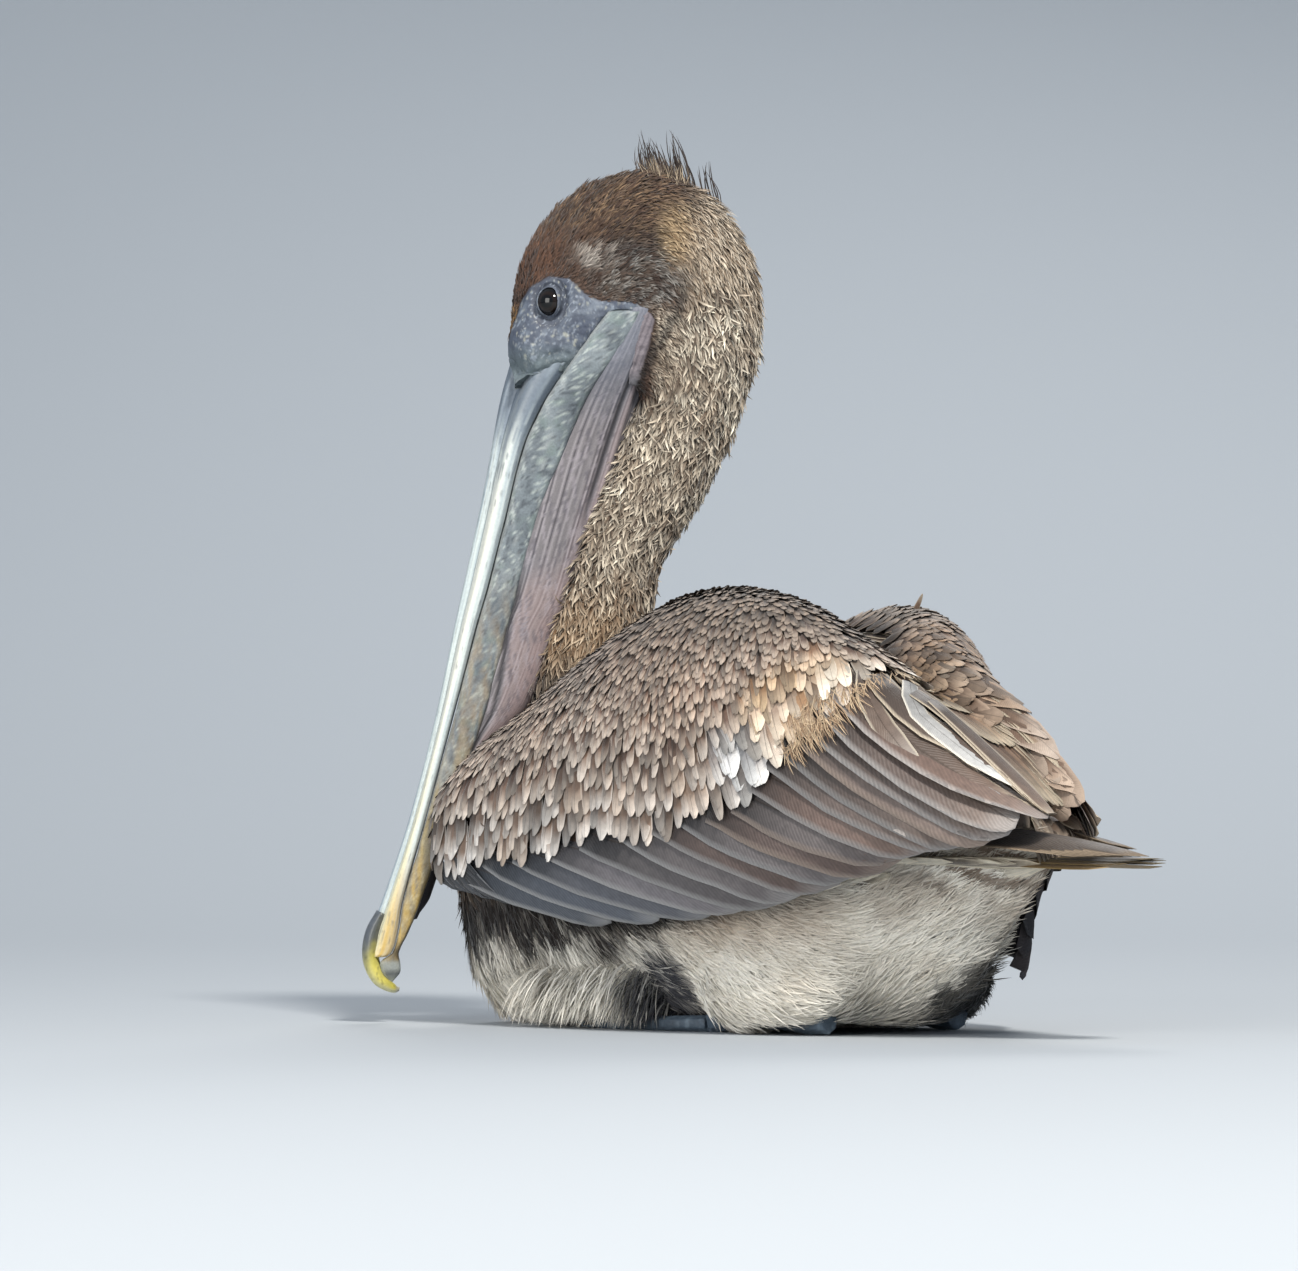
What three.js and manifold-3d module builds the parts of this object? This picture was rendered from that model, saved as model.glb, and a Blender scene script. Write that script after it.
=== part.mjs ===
// A brown pelican at rest on its belly, life size, as closed solids in millimetres.
// Row frame: +Z up, the floor at Z 0, the bird faces -X and its left side is -Y. The origin is on the
// floor under the belly. The trunk, wings and tail lie along X. The head is turned to the left, and the
// bill hangs down in front of the neck.
// Every shape is a builder called with a margin g: 0 gives the piece itself, and CLEAR gives the slightly
// larger copy that cuts its neighbours, so that pieces meet with a gap and never overlap.
import * as THREE from "three";
import { mergeVertices } from "three/addons/utils/BufferGeometryUtils.js";
import Module from "manifold-3d";

const wasm = await Module();
wasm.setup();

// ---------- driving dimensions ----------
const CLEAR = 0.35; // gap between neighbouring pieces
const RING = 14; // points round a body section
const SMALL_RING = 10; // points round a smaller section
const HEAD_TURN = THREE.MathUtils.degToRad(48); // turn of the head to the bird's left
const HEAD_AXIS = new THREE.Vector2(-125.6, -8); // the vertical line that the head turns about
const EYE_RADIUS = 8;
const EYE_AT = { forward: 25, side: 18.4, height: 353.5 };
const WING_THICKNESS = 48; // half width of the folded wing's oval before the trunk is cut out of it
const VANE_STEP = 0.9; // how far each large feather stands over the next
// How the right wing differs from the left one.
const RIGHT_WING = { droop: 38, lower: 8, setBack: 10, tuck: 22, lean: 19 };

// ---------- small tools ----------
const vec = (x, y, z) => new THREE.Vector3(x, y, z);
const UP = vec(0, 0, 1);

// A smooth curve through [place, value] pairs, held level past both ends.
function through(pairs) {
  const slope = pairs.map((p, i) => {
    const a = pairs[Math.max(i - 1, 0)];
    const b = pairs[Math.min(i + 1, pairs.length - 1)];
    return (b[1] - a[1]) / (b[0] - a[0]);
  });
  return (x) => {
    if (x <= pairs[0][0]) return pairs[0][1];
    const i = pairs.findIndex((p) => x < p[0]);
    if (i < 0) return pairs[pairs.length - 1][1];
    const [x0, y0] = pairs[i - 1];
    const [x1, y1] = pairs[i];
    const step = x1 - x0;
    const t = (x - x0) / step;
    const rise = (3 * t ** 2 - 2 * t ** 3) * (y1 - y0);
    const out = (t ** 3 - 2 * t ** 2 + t) * slope[i - 1];
    const into = (t ** 3 - t ** 2) * slope[i];
    return y0 + rise + step * (out + into);
  };
}

const lerp = THREE.MathUtils.lerp;
const signedPower = (x, p) => Math.sign(x) * Math.abs(x) ** p;

// A closed geometry through rings of equal point counts, with a point at each end.
function skinOver(rings, first, last) {
  const n = rings[0].length;
  const points = [...rings.flat(), first, last];
  const faces = [];
  for (let r = 0; r + 1 < rings.length; r++)
    for (let k = 0; k < n; k++) {
      const a = r * n + k;
      const b = r * n + ((k + 1) % n);
      faces.push(a, b, a + n, b, b + n, a + n);
    }
  const lastRing = (rings.length - 1) * n;
  for (let k = 0; k < n; k++) {
    const next = (k + 1) % n;
    faces.push(next, k, points.length - 2);
    faces.push(lastRing + k, lastRing + next, points.length - 1);
  }
  const geometry = new THREE.BufferGeometry().setFromPoints(points);
  geometry.setIndex(faces);
  return geometry;
}

// A three.js geometry as a solid that manifold-3d can join and cut.
function solid(geometry) {
  const plain = geometry.clone();
  plain.deleteAttribute("normal");
  plain.deleteAttribute("uv");
  const merged = mergeVertices(plain, 1e-4);
  const make = (tris) =>
    new wasm.Manifold(
      new wasm.Mesh({ numProp: 3, vertProperties: merged.attributes.position.array, triVerts: tris }),
    );
  const tris = new Uint32Array(merged.index.array);
  const made = make(tris);
  return made.volume() > 0 ? made : make(tris.reverse());
}

const join = (solids) => solids.reduce((a, b) => a.add(b));
const cut = (body, ...tools) => tools.reduce((a, b) => a.subtract(b), body);

// The largest body of a solid, without the slivers that a cut can leave.
function main(body) {
  const parts = body.decompose();
  return parts.reduce((a, b) => (a.volume() > b.volume() ? a : b));
}

function ellipsoid(centre, radii, g = 0) {
  const ball = new THREE.SphereGeometry(1, SMALL_RING, 7);
  ball.scale(radii.x + g, radii.y + g, radii.z + g);
  ball.translate(centre.x, centre.y, centre.z);
  return solid(ball);
}

// A ring in the plane of two unit vectors. power under 1 squares the oval off, over 1 pinches it.
function oval(centre, across, upward, rx, ry, power = 1, n = RING) {
  return Array.from({ length: n }, (_, k) => {
    const angle = (2 * Math.PI * k) / n;
    return centre
      .clone()
      .addScaledVector(across, rx * signedPower(Math.cos(angle), power))
      .addScaledVector(upward, ry * signedPower(Math.sin(angle), power));
  });
}

// A tube along a curve, with its two radii given as functions of the share of the way along.
function tube(curve, side, radiusSide, radiusOther, steps, n = RING) {
  const rings = [];
  for (let i = 0; i <= steps; i++) {
    const t = i / steps;
    const along = curve.getTangent(t);
    const other = along.clone().cross(side).normalize();
    rings.push(oval(curve.getPoint(t), side, other, radiusSide(t), radiusOther(t), 1, n));
  }
  return solid(skinOver(rings, curve.getPoint(0), curve.getPoint(1)));
}

// ---------- trunk ----------
// Side outline and half width of the trunk, by place along X. The belly runs below the floor, to be cut.
const backLine = through([
  [-192, 80], [-184, 110], [-160, 140], [-120, 164], [-60, 180], [0, 182], [70, 166], [125, 141],
  [165, 114], [188, 93],
]);
const bellyLine = through([
  [-192, 38], [-184, 12], [-171, -4], [-140, -9], [-60, -9], [60, -9], [88, -4], [104, 4], [124, 15],
  [150, 43], [176, 76], [188, 84],
]);
const trunkWidth = through([
  [-192, 26], [-184, 50], [-160, 76], [-120, 85], [-60, 85], [0, 84], [30, 82], [60, 77], [95, 64],
  [125, 41], [150, 29], [176, 22], [188, 16],
]);
// How much narrower the trunk is at its lower edge than at its middle. It is a keel behind the legs.
const keel = through([[0, 0], [30, 0.1], [60, 0.3], [95, 0.65], [125, 0.82], [200, 0.8]]);
const TRUNK_FROM = -192;
const TRUNK_TO = 188;
const TRUNK_STEPS = 15;

function wholeTrunk(g) {
  const rings = [];
  for (let i = 0; i <= TRUNK_STEPS; i++) {
    // sections crowd towards both ends, where the outline turns fastest
    const t = 0.5 - 0.5 * Math.cos((Math.PI * i) / TRUNK_STEPS);
    const x = lerp(TRUNK_FROM, TRUNK_TO, 0.35 * t + (0.65 * i) / TRUNK_STEPS);
    const middle = (backLine(x) + bellyLine(x)) / 2;
    const half = (backLine(x) - bellyLine(x)) / 2 + g;
    const ring = oval(vec(x, 0, middle), vec(0, 1, 0), UP, trunkWidth(x) + g, half, 0.86);
    ring.forEach((p) => (p.y *= 1 - keel(x) * Math.max(0, (middle - p.z) / half) ** 1.2));
    rings.push(ring);
  }
  const breast = vec(TRUNK_FROM - 4 - g, 0, (backLine(TRUNK_FROM) + bellyLine(TRUNK_FROM)) / 2);
  const rump = vec(TRUNK_TO + 3 + g, 0, (backLine(TRUNK_TO) + bellyLine(TRUNK_TO)) / 2);
  return solid(skinOver(rings, breast, rump));
}

// Everything is cut at the floor, which leaves the flats that the bird rests on.
const aboveFloor = (body) => body.trimByPlane([0, 0, 1], 0);

// ---------- head, in its own turned frame ----------
// forward is along the bill's plane, side is the bird's left, height is up.
const FORWARD = vec(-Math.cos(HEAD_TURN), -Math.sin(HEAD_TURN), 0);
const SIDE = vec(Math.sin(HEAD_TURN), -Math.cos(HEAD_TURN), 0);

function inHead(forward, side, height) {
  return vec(HEAD_AXIS.x, HEAD_AXIS.y, height)
    .addScaledVector(FORWARD, forward)
    .addScaledVector(SIDE, side);
}

// Front and back of the head's outline and its half width, by height.
const headFront = through([
  [312, 24], [324, 40], [340, 48], [360, 47], [375, 43], [392, 34], [405, 21], [413, 6], [417, -8],
]);
const headBack = through([
  [312, -66], [324, -75], [340, -78], [360, -77], [375, -74], [392, -65], [405, -54], [413, -40],
  [417, -24],
]);
const headWidth = through([[312, 24], [334, 29], [359, 31], [379, 30], [399, 24], [410, 15], [417, 6]]);
const HEAD_LOW = 312;
const HEAD_TOP = 417;

function wholeHead(g) {
  const steps = 8;
  const rings = [];
  for (let i = 0; i <= steps; i++) {
    const crowded = Math.sin((0.5 * Math.PI * i) / steps);
    const height = lerp(HEAD_LOW, HEAD_TOP, crowded * 0.6 + (0.4 * i) / steps);
    const front = headFront(height);
    const back = headBack(height);
    const centre = inHead((front + back) / 2, 0, height);
    rings.push(oval(centre, FORWARD, SIDE, (front - back) / 2 + g, headWidth(height) + g, 0.95, 12));
  }
  const below = inHead(-20, 0, HEAD_LOW - 8 - g);
  const cranium = solid(skinOver(rings, below, inHead(-16, 0, HEAD_TOP + 1 + g)));
  const toBill = new THREE.CatmullRomCurve3([
    inHead(2, 0, 366), inHead(20, 0, 341), inHead(33, 0, 318), inHead(40, 0, 303),
  ]);
  const faceWide = through([[0, 28], [0.4, 26.5], [0.8, 21], [1, 15]]);
  const faceDeep = through([[0, 36], [0.4, 27], [0.8, 15], [1, 8]]);
  const face = tube(toBill, SIDE, (t) => faceWide(t) + g, (t) => faceDeep(t) + g, 4, 10);
  return cranium.add(face);
}

// The crest: thin feathers in a clump on the back of the crown. Each tip by forward, side, height.
const CREST_TIPS = [
  [-9, 1, 434], [-14, -3, 439], [-22, 3, 432], [-30, 1, 441], [-36, -3, 431], [-46, 2, 427],
];

function wholeCrest() {
  const clump = new THREE.SphereGeometry(1, 7, 5).scale(6, 11, 7).rotateZ(HEAD_TURN + Math.PI / 2);
  const centre = inHead(-27, 0, 415);
  const feathers = CREST_TIPS.map(([forward, side, height], i) => {
    const line = new THREE.LineCurve3(inHead(-20 - 3.2 * i, side, 412), inHead(forward, side, height));
    return tube(line, SIDE, (t) => lerp(2.2, 0.5, t), (t) => lerp(2.8, 0.5, t), 1, 4);
  });
  return join([solid(clump.translate(centre.x, centre.y, centre.z)), ...feathers]);
}

const eyeball = (side, g) => {
  const ball = new THREE.SphereGeometry(EYE_RADIUS + g, SMALL_RING, 7);
  const centre = inHead(EYE_AT.forward, side * EYE_AT.side, EYE_AT.height);
  return solid(ball.translate(centre.x, centre.y, centre.z));
};

// ---------- bill ----------
// Lines of the closed bill in the head's plane, as forward by height: the ridge, the line where the bill
// closes, the lower edge of the jaw, and the back of the pouch.
const ridgeLine = through([
  [14, 121], [30, 119.5], [44, 115.4], [58, 109.8], [90, 98.8], [119, 90.6], [154, 82], [193, 74],
  [232, 65.4], [272, 57.2], [306, 51], [328, 45],
]);
const closingLine = through([
  [18, 106], [22, 108.5], [26, 110], [30, 110], [34, 104.3], [45, 101], [59, 98.8], [94, 89],
  [159, 71.5], [193, 62.8], [213, 57],
  [242, 49.5], [281, 39.7], [301, 31], [316, 21.5], [339, 5], [348, -2],
]);
const jawLine = through([
  [18, 104.5], [21, 101.6], [25, 100], [30, 100.2], [34, 101], [44, 96.3], [59, 90], [94, 78],
  [129, 65.8], [159, 56], [192, 47.4],
  [233, 36.5], [254, 29.9], [281, 18.6], [311, 5], [334, -12], [350, -20],
]);
const pouchBack = through([
  [54, 88], [94, 74], [132, 58], [154, 39], [174, 29], [194, 21], [208, 12], [242, 1], [272, -9],
  [301, -18], [331, -27], [350, -31],
]);
const billHalfWidth = through([
  [30, 5.5], [44, 8.5], [58, 10.5], [90, 12], [119, 12.4], [159, 13], [193, 14], [242, 16],
  [281, 18.5], [319, 22],
]);
const UPPER_BILL = { low: 32.5, top: 328, steps: 9 };

// Half of the upper bill's section: share of the half width, share of the height above the closing line.
const UPPER_SECTION = [
  [0.86, 0], [1, 0.18], [0.92, 0.5], [0.5, 0.66], [0.3, 0.72], [0.24, 0.94], [0.1, 1],
];

function upperBill(g) {
  const rings = [];
  for (let i = 0; i <= UPPER_BILL.steps; i++) {
    const height = lerp(UPPER_BILL.low, UPPER_BILL.top, i / UPPER_BILL.steps);
    const ridge = ridgeLine(height) + g;
    const closing = closingLine(height) + CLEAR - g;
    const half = billHalfWidth(height);
    const point = (sign) => ([across, up]) =>
      inHead(lerp(closing, ridge, up), sign * (across * half + g * 1.2), height);
    rings.push([...UPPER_SECTION.map(point(1)), ...UPPER_SECTION.map(point(-1)).reverse()]);
  }
  const end = (height) => inHead((ridgeLine(height) + closingLine(height)) / 2, 0, height);
  return solid(skinOver(rings, end(UPPER_BILL.low - g), end(UPPER_BILL.top + g)));
}

// The nail: a hook that curves round the tip of the lower bill.
function nail(g) {
  const hook = new THREE.CatmullRomCurve3([
    inHead(109, 0, 54), inHead(113.5, 0, 44), inHead(114.6, 0, 32), inHead(111, 0, 22),
    inHead(104, 0, 17), inHead(100.5, 0, 16.4),
  ]);
  const wide = through([[0, 6.5], [0.35, 6.8], [0.7, 5], [1, 1.5]]);
  const deep = through([[0, 3], [0.35, 4.2], [0.7, 3], [1, 0.9]]);
  return tube(hook, SIDE, (t) => wide(t) + g, (t) => deep(t) + g, 6, 6);
}

// The lower bill: two thin jaws that meet at the tip.
const jawSpread = through([
  [21, 0.5], [34, 3.2], [59, 6.6], [94, 8.6], [159, 10.2], [193, 11.2], [242, 13.2], [281, 16.5],
  [304, 21], [326, 25.6], [350, 27.5],
]);
const jawSide = through([[21, 2.4], [54, 2.9], [194, 3.1], [294, 4], [350, 4.5]]);
const JAW_HEIGHTS = [21, 25, 30, 34, 45, 60, 96, 150, 200, 245, 281, 312, 348];

function jaw(sign, g) {
  const rings = JAW_HEIGHTS.map((height) => {
    const front = closingLine(height) - CLEAR;
    const back = jawLine(height);
    const centre = inHead((front + back) / 2, sign * jawSpread(height), height);
    return oval(centre, FORWARD, SIDE, (front - back) / 2 + g, jawSide(height) + g, 0.8, 8);
  });
  const low = JAW_HEIGHTS[0];
  const high = JAW_HEIGHTS[JAW_HEIGHTS.length - 1];
  const middle = (height) => {
    const forward = (closingLine(height) + jawLine(height)) / 2;
    return inHead(forward, sign * jawSpread(height), height);
  };
  const bottom = middle(low).addScaledVector(UP, -3 - g);
  return solid(skinOver(rings, bottom, middle(high).addScaledVector(UP, 1 + g)));
}

const lowerBill = (g) => jaw(1, g).add(jaw(-1, g));

// The pouch: slack skin between the jaws and behind them, down the front of the neck.
const pouchWide = through([
  [54, 4], [94, 6.5], [132, 9], [159, 11.5], [193, 13.5], [242, 16.5], [281, 18.5], [304, 22],
  [326, 28.5], [350, 30.5],
]);
const POUCH_HEIGHTS = [54, 98, 140, 170, 210, 256, 294, 326, 350];

function pouch(g) {
  const rings = POUCH_HEIGHTS.map((height) => {
    const front = closingLine(height) - 2;
    const back = pouchBack(height);
    const centre = inHead((front + back) / 2, 0, height);
    return oval(centre, FORWARD, SIDE, (front - back) / 2 + g, pouchWide(height) + g, 0.9, 8);
  });
  const middle = (height) => inHead((closingLine(height) + pouchBack(height)) / 2, 0, height);
  return solid(skinOver(rings, middle(50 - g), middle(355 + g)));
}

// ---------- neck ----------
// From inside the trunk up to inside the head. It leans back and then rises to the nape.
const NECK_STEPS = 8;
const neckCurve = new THREE.CatmullRomCurve3([
  vec(-112, 0, 114),
  vec(-128, 0, 146),
  vec(-138, -6, 176),
  inHead(1, -4, 204),
  inHead(-7, -3, 234),
  inHead(-26, -1, 266),
  inHead(-40, 0, 298),
  inHead(-48, 0, 330),
  inHead(-43, 0, 360),
]);
const neckSide = through([
  [0, 44], [0.15, 38], [0.28, 29], [0.42, 25], [0.6, 24.5], [0.8, 26], [1, 28],
]);
const neckDeep = through([
  [0, 46], [0.15, 40], [0.28, 31], [0.42, 26.5], [0.6, 26.5], [0.8, 28.5], [1, 30],
]);
const NECK_PART_AT = 0.56;

const wholeNeck = (g) =>
  tube(neckCurve, SIDE, (t) => neckSide(t) + g, (t) => neckDeep(t) + g, NECK_STEPS, SMALL_RING);

// ---------- wings ----------
// The folded left wing by place along X: its top, its lower edge, how far out the middle of its section
// sits, and the half width of that section. The right wing hangs lower, and is drawn in behind.
const wingTop = through([
  [-172, 82], [-160, 102], [-145, 120], [-112, 150], [-63, 184], [-16, 206], [19, 211], [56, 205],
  [80, 194], [110, 177], [145, 152], [175, 126], [200, 102],
]);
const wingLow = through([
  [-172, 78], [-160, 68], [-100, 58], [-23, 56], [43, 63], [95, 74], [139, 90], [200, 94],
]);
const wingOut = through([
  [-172, -72], [-160, -66], [-120, -58], [-60, -54], [0, -52], [70, -50], [130, -42], [200, -24],
]);
const wingHalf = through([
  [-172, 3], [-160, 19], [-120, 34], [-60, 44], [0, WING_THICKNESS], [70, 46], [130, 36], [170, 26],
  [200, 16],
]);
const covertLow = through([
  [-172, 64], [-137, 69], [-95, 74], [-50, 82], [0, 93], [44, 100], [80, 100], [130, 98], [200, 92],
]);
const COVERTS = { from: -172, to: 180, steps: 12 };
const COVERT_EDGE_AT = [-200, -137, -95, -50, 0, 44, 80, 130, 200];
const TERTIAL_BED = 5; // how far the wing lies under its tertials

const isRight = (side) => side > 0;
const smooth = THREE.MathUtils.smoothstep;
const droop = (side, x) =>
  isRight(side) ? RIGHT_WING.droop * smooth(x, -120, 60) * (1 - 0.8 * smooth(x, 95, 160)) : 0;
const tuck = (side, x) => (isRight(side) ? RIGHT_WING.tuck * smooth(x, 55, 135) : 0);

// The section of a wing at x: how far its top leans inward, its middle, half width and half height.
function wingSection(side, x) {
  const back = isRight(side) ? RIGHT_WING.setBack * smooth(x, -140, -20) : 0;
  const lower = isRight(side) ? RIGHT_WING.lower * smooth(x, -140, -20) : 0;
  const top = wingTop(x - back) - lower;
  const low = wingLow(x) - droop(side, x);
  const drawnIn = tuck(side, x);
  return {
    lean: isRight(side) ? RIGHT_WING.lean * smooth(x, 10, 80) * (1 - smooth(x, 90, 160)) : 0,
    out: wingOut(x) + drawnIn,
    middle: (top + low) / 2,
    width: wingHalf(x) - 0.7 * drawnIn,
    height: (top - low) / 2,
  };
}

// A wing section is an oval above and nearly a flat panel below.
const PANEL = 5; // how square the lower half is: 2 is an oval
function wingRing(side, x, g) {
  const { lean, out, middle, width, height } = wingSection(side, x);
  return Array.from({ length: RING }, (_, k) => {
    const angle = (2 * Math.PI * k) / RING;
    const power = Math.sin(angle) < 0 ? 2 / PANEL : 1;
    const across = (width + g) * signedPower(Math.cos(angle), power);
    const rise = signedPower(Math.sin(angle), power);
    return vec(x, -side * (out + across + (lean * (rise + 1)) / 2), middle + (height + g) * rise);
  });
}

// The outer skin of the wing over (x, z), pushed out by lift. side is -1 left, +1 right.
function onWing(side, x, z, lift) {
  const { lean, out, middle, width, height } = wingSection(side, x);
  const rise = THREE.MathUtils.clamp((z - middle) / height, -0.98, 0.98);
  const power = rise < 0 ? PANEL : 2;
  const reach = (1 - Math.abs(rise) ** power) ** (1 / power);
  const upward = Math.sign(rise) * Math.abs(rise) ** (power - 1);
  const normal = vec(0, -(reach ** (power - 1)) / width, upward / height).normalize();
  const p = vec(x, out - width * reach + (lean * (rise + 1)) / 2, z).addScaledVector(normal, lift);
  p.y *= -side;
  normal.y *= -side;
  return { p, normal };
}

// The wing as one body, with all that lies under the coverts' edge cut away. Behind the elbow it lies
// deeper, as a bed for the tertials.
function covertMass(side, g) {
  const rings = [];
  for (let i = 0; i <= COVERTS.steps; i++) {
    const x = lerp(COVERTS.from, COVERTS.to, i / COVERTS.steps);
    rings.push(wingRing(side, x, g - TERTIAL_BED * smooth(x, 78, 100)));
  }
  const end = (x, beyond) => {
    const { lean, out, middle } = wingSection(side, x);
    return vec(x + beyond, -side * (out + lean / 2), middle);
  };
  const body = solid(skinOver(rings, end(COVERTS.from, -3 - g), end(COVERTS.to, 4 + g)));
  const under = new THREE.Shape([new THREE.Vector2(-200, -50)]);
  COVERT_EDGE_AT.forEach((x) => under.lineTo(x, covertLow(x) - droop(side, x) - g));
  under.lineTo(200, -50);
  const tool = new THREE.ExtrudeGeometry(under, { depth: 300, bevelEnabled: false });
  tool.rotateX(Math.PI / 2).translate(0, 150, 0);
  return cut(body, solid(tool));
}

// A row of overlapping feathers as one closed body: scalloped at its tips, and stepped where each feather
// lies over the next. at(s, t) gives a point and its outward normal for the share s across the row and t
// along the feathers; thick(t) is how deep the row is.
const VANE_TIP = 0.1; // how much shorter a feather is at its edges than on its shaft, as a share of it
const VANE_COLUMNS = [[0, -VANE_STEP, VANE_TIP], [0.45, 0.4, 0], [0.92, 0, VANE_TIP]];

function row(count, alongSteps, at, thick, g) {
  const top = [];
  const under = [];
  for (let i = 0; i < count; i++)
    for (const [share, rise, shorter] of VANE_COLUMNS) {
      const s = (i + share) / count;
      const edge = i === 0 && share === 0 ? -1 : i === count - 1 && share > 0.9 ? 1 : 0;
      for (let j = 0; j <= alongSteps; j++) {
        const u = j / alongSteps;
        const t = lerp(u, u * (1 - shorter), u ** 3) + (u === 1 ? g / 100 : 0) - (u === 0 ? g / 100 : 0);
        const { p, normal } = at(s + (edge * g) / 100, t);
        top.push(p.clone().addScaledVector(normal, rise + g));
        under.push(p.clone().addScaledVector(normal, -thick(t) - g));
      }
    }
  const columns = VANE_COLUMNS.length * count;
  const n = alongSteps + 1;
  const faces = [];
  const quad = (a, b, c, d) => faces.push(a, b, c, a, c, d);
  const U = top.length;
  for (let c = 0; c + 1 < columns; c++)
    for (let j = 0; j + 1 < n; j++) {
      const a = c * n + j;
      quad(a, a + 1, a + n + 1, a + n);
      quad(U + a, U + a + n, U + a + n + 1, U + a + 1);
    }
  for (let c = 0; c + 1 < columns; c++) {
    quad(c * n, c * n + n, U + c * n + n, U + c * n);
    const tip = c * n + n - 1;
    quad(tip, U + tip, U + tip + n, tip + n);
  }
  const lastColumn = (columns - 1) * n;
  for (let j = 0; j + 1 < n; j++) {
    quad(j, U + j, U + j + 1, j + 1);
    quad(lastColumn + j, lastColumn + j + 1, U + lastColumn + j + 1, U + lastColumn + j);
  }
  const geometry = new THREE.BufferGeometry().setFromPoints([...top, ...under]);
  geometry.setIndex(faces);
  return solid(geometry);
}

// A row whose roots and tips are given in X and Z, on the outer skin of a wing.
const wingRow = (side, root, tip, lift) => (s, t) => {
  const [x0, z0] = root(s);
  const [x1, z1] = tip(s);
  const x = lerp(x0, x1, t);
  return onWing(side, x, lerp(z0, z1, t) - droop(side, x), lift(s, t));
};

// Secondaries with their great coverts: from under the coverts' edge back and down to the lower edge.
function secondaries(side, g) {
  const root = (s) => {
    const x = lerp(-158, 84, s);
    return [x, covertLow(x) + lerp(2, -2, s)];
  };
  const tip = (s) => {
    const x = lerp(-120, 158, s);
    return [x, wingLow(x) + 2];
  };
  return row(9, 2, wingRow(side, root, tip, () => 0.9), (t) => lerp(10.5, 1.6, t), g);
}

// Tertials: long feathers from the elbow over the hind wing.
function tertials(side, g) {
  const root = (s) => [lerp(82, 86, s), lerp(116, 188, s)];
  const tip = (s) => [lerp(168, 197, s), lerp(95, 107, s)];
  return row(5, 3, wingRow(side, root, tip, () => 1.6), (t) => lerp(7, 1.6, t), g);
}

// Scapulars: the feathers of the back, which bridge the dip between the wings and reach the rump.
function scapulars(g) {
  const at = (s, t) => {
    const across = 2 * s - 1;
    const x = lerp(34, 184 - 10 * across ** 2, t);
    const wing = wingSection(across, x);
    const spine = backLine(x) + lerp(4, 10, smooth(x, 60, 130));
    const ridge = wing.middle + wing.height + 1;
    const height = lerp(spine, ridge, across ** 2);
    const p = vec(x, -across * (wing.out + wing.lean) * 0.95, height);
    return { p, normal: vec(0.45, -0.1 * across, 1).normalize() };
  };
  return row(6, 3, at, (t) => lerp(14, 3, t), g);
}

// Primaries: the wing tip, nearly level, over the root of the tail.
const PRIMARY_TIP = { left: vec(249, -12, 86), right: vec(228, 9, 89) };

function primaries(side, g) {
  const tip = isRight(side) ? PRIMARY_TIP.right : PRIMARY_TIP.left;
  const at = (s, t) => {
    const x = lerp(126, tip.x - 22 * (1 - s), t);
    const inner = lerp(66, 40, s) - 0.5 * tuck(side, 126);
    const y = side * lerp(inner, side * tip.y + 9 * (0.5 - s), t ** 0.8);
    const z = lerp(98, tip.z, t ** 2) + lerp(-3, 2, s) * (1 - t);
    return { p: vec(x, y, z), normal: vec(0, side * lerp(0.6, 0.15, t), 1).normalize() };
  };
  return row(4, 3, at, (t) => lerp(4, 1.2, t), g);
}

// ---------- tail ----------
const TAIL = { root: 150, length: 90, feathers: 7, halfWidth: [13, 21], height: 87 };

function tail(g) {
  const at = (s, t) => {
    const across = 2 * s - 1;
    const x = TAIL.root + (TAIL.length - 14 * across ** 2) * t;
    const y = across * lerp(...TAIL.halfWidth, t);
    const p = vec(x, y, TAIL.height - 4 * across ** 2 - 4 * t);
    return { p, normal: vec(0, 0.2 * across, 1).normalize() };
  };
  return row(TAIL.feathers, 2, at, (t) => lerp(5, 1.4, t), g);
}

// ---------- thighs, legs and feet ----------
const THIGH = { at: [38, 44, 26], radii: [56, 33, 35] };
const thigh = (side, g) =>
  ellipsoid(vec(THIGH.at[0], side * THIGH.at[1], THIGH.at[2]), vec(...THIGH.radii), g);

const LEG = { heel: [72, 42, 9], toes: [0, 50, 7] };

function tarsus(side, g) {
  const onSide = ([x, y, z]) => vec(x, side * y, z);
  const line = new THREE.LineCurve3(onSide(LEG.heel), onSide(LEG.toes));
  const thick = through([[0, 8.5], [0.12, 9.5], [0.35, 6.4], [0.8, 6], [1, 7.5]]);
  return tube(line, vec(0, 0, 1), (t) => thick(t) + g, (t) => thick(t) * 0.8 + g, 5, 8);
}

// The foot: four toes in one web, flat on the floor. Toe lengths with the claw, turns from straight ahead,
// and along a toe its share of the way and the height of its middle there.
const TOES = [[86, -20], [96, 0], [82, 20], [42, 58]];
const TOE_LINE = [[0, 4], [0.5, 3.2], [0.86, 2.8], [1, 1.6]];
const WEB_THICKNESS = 2.4;

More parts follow.
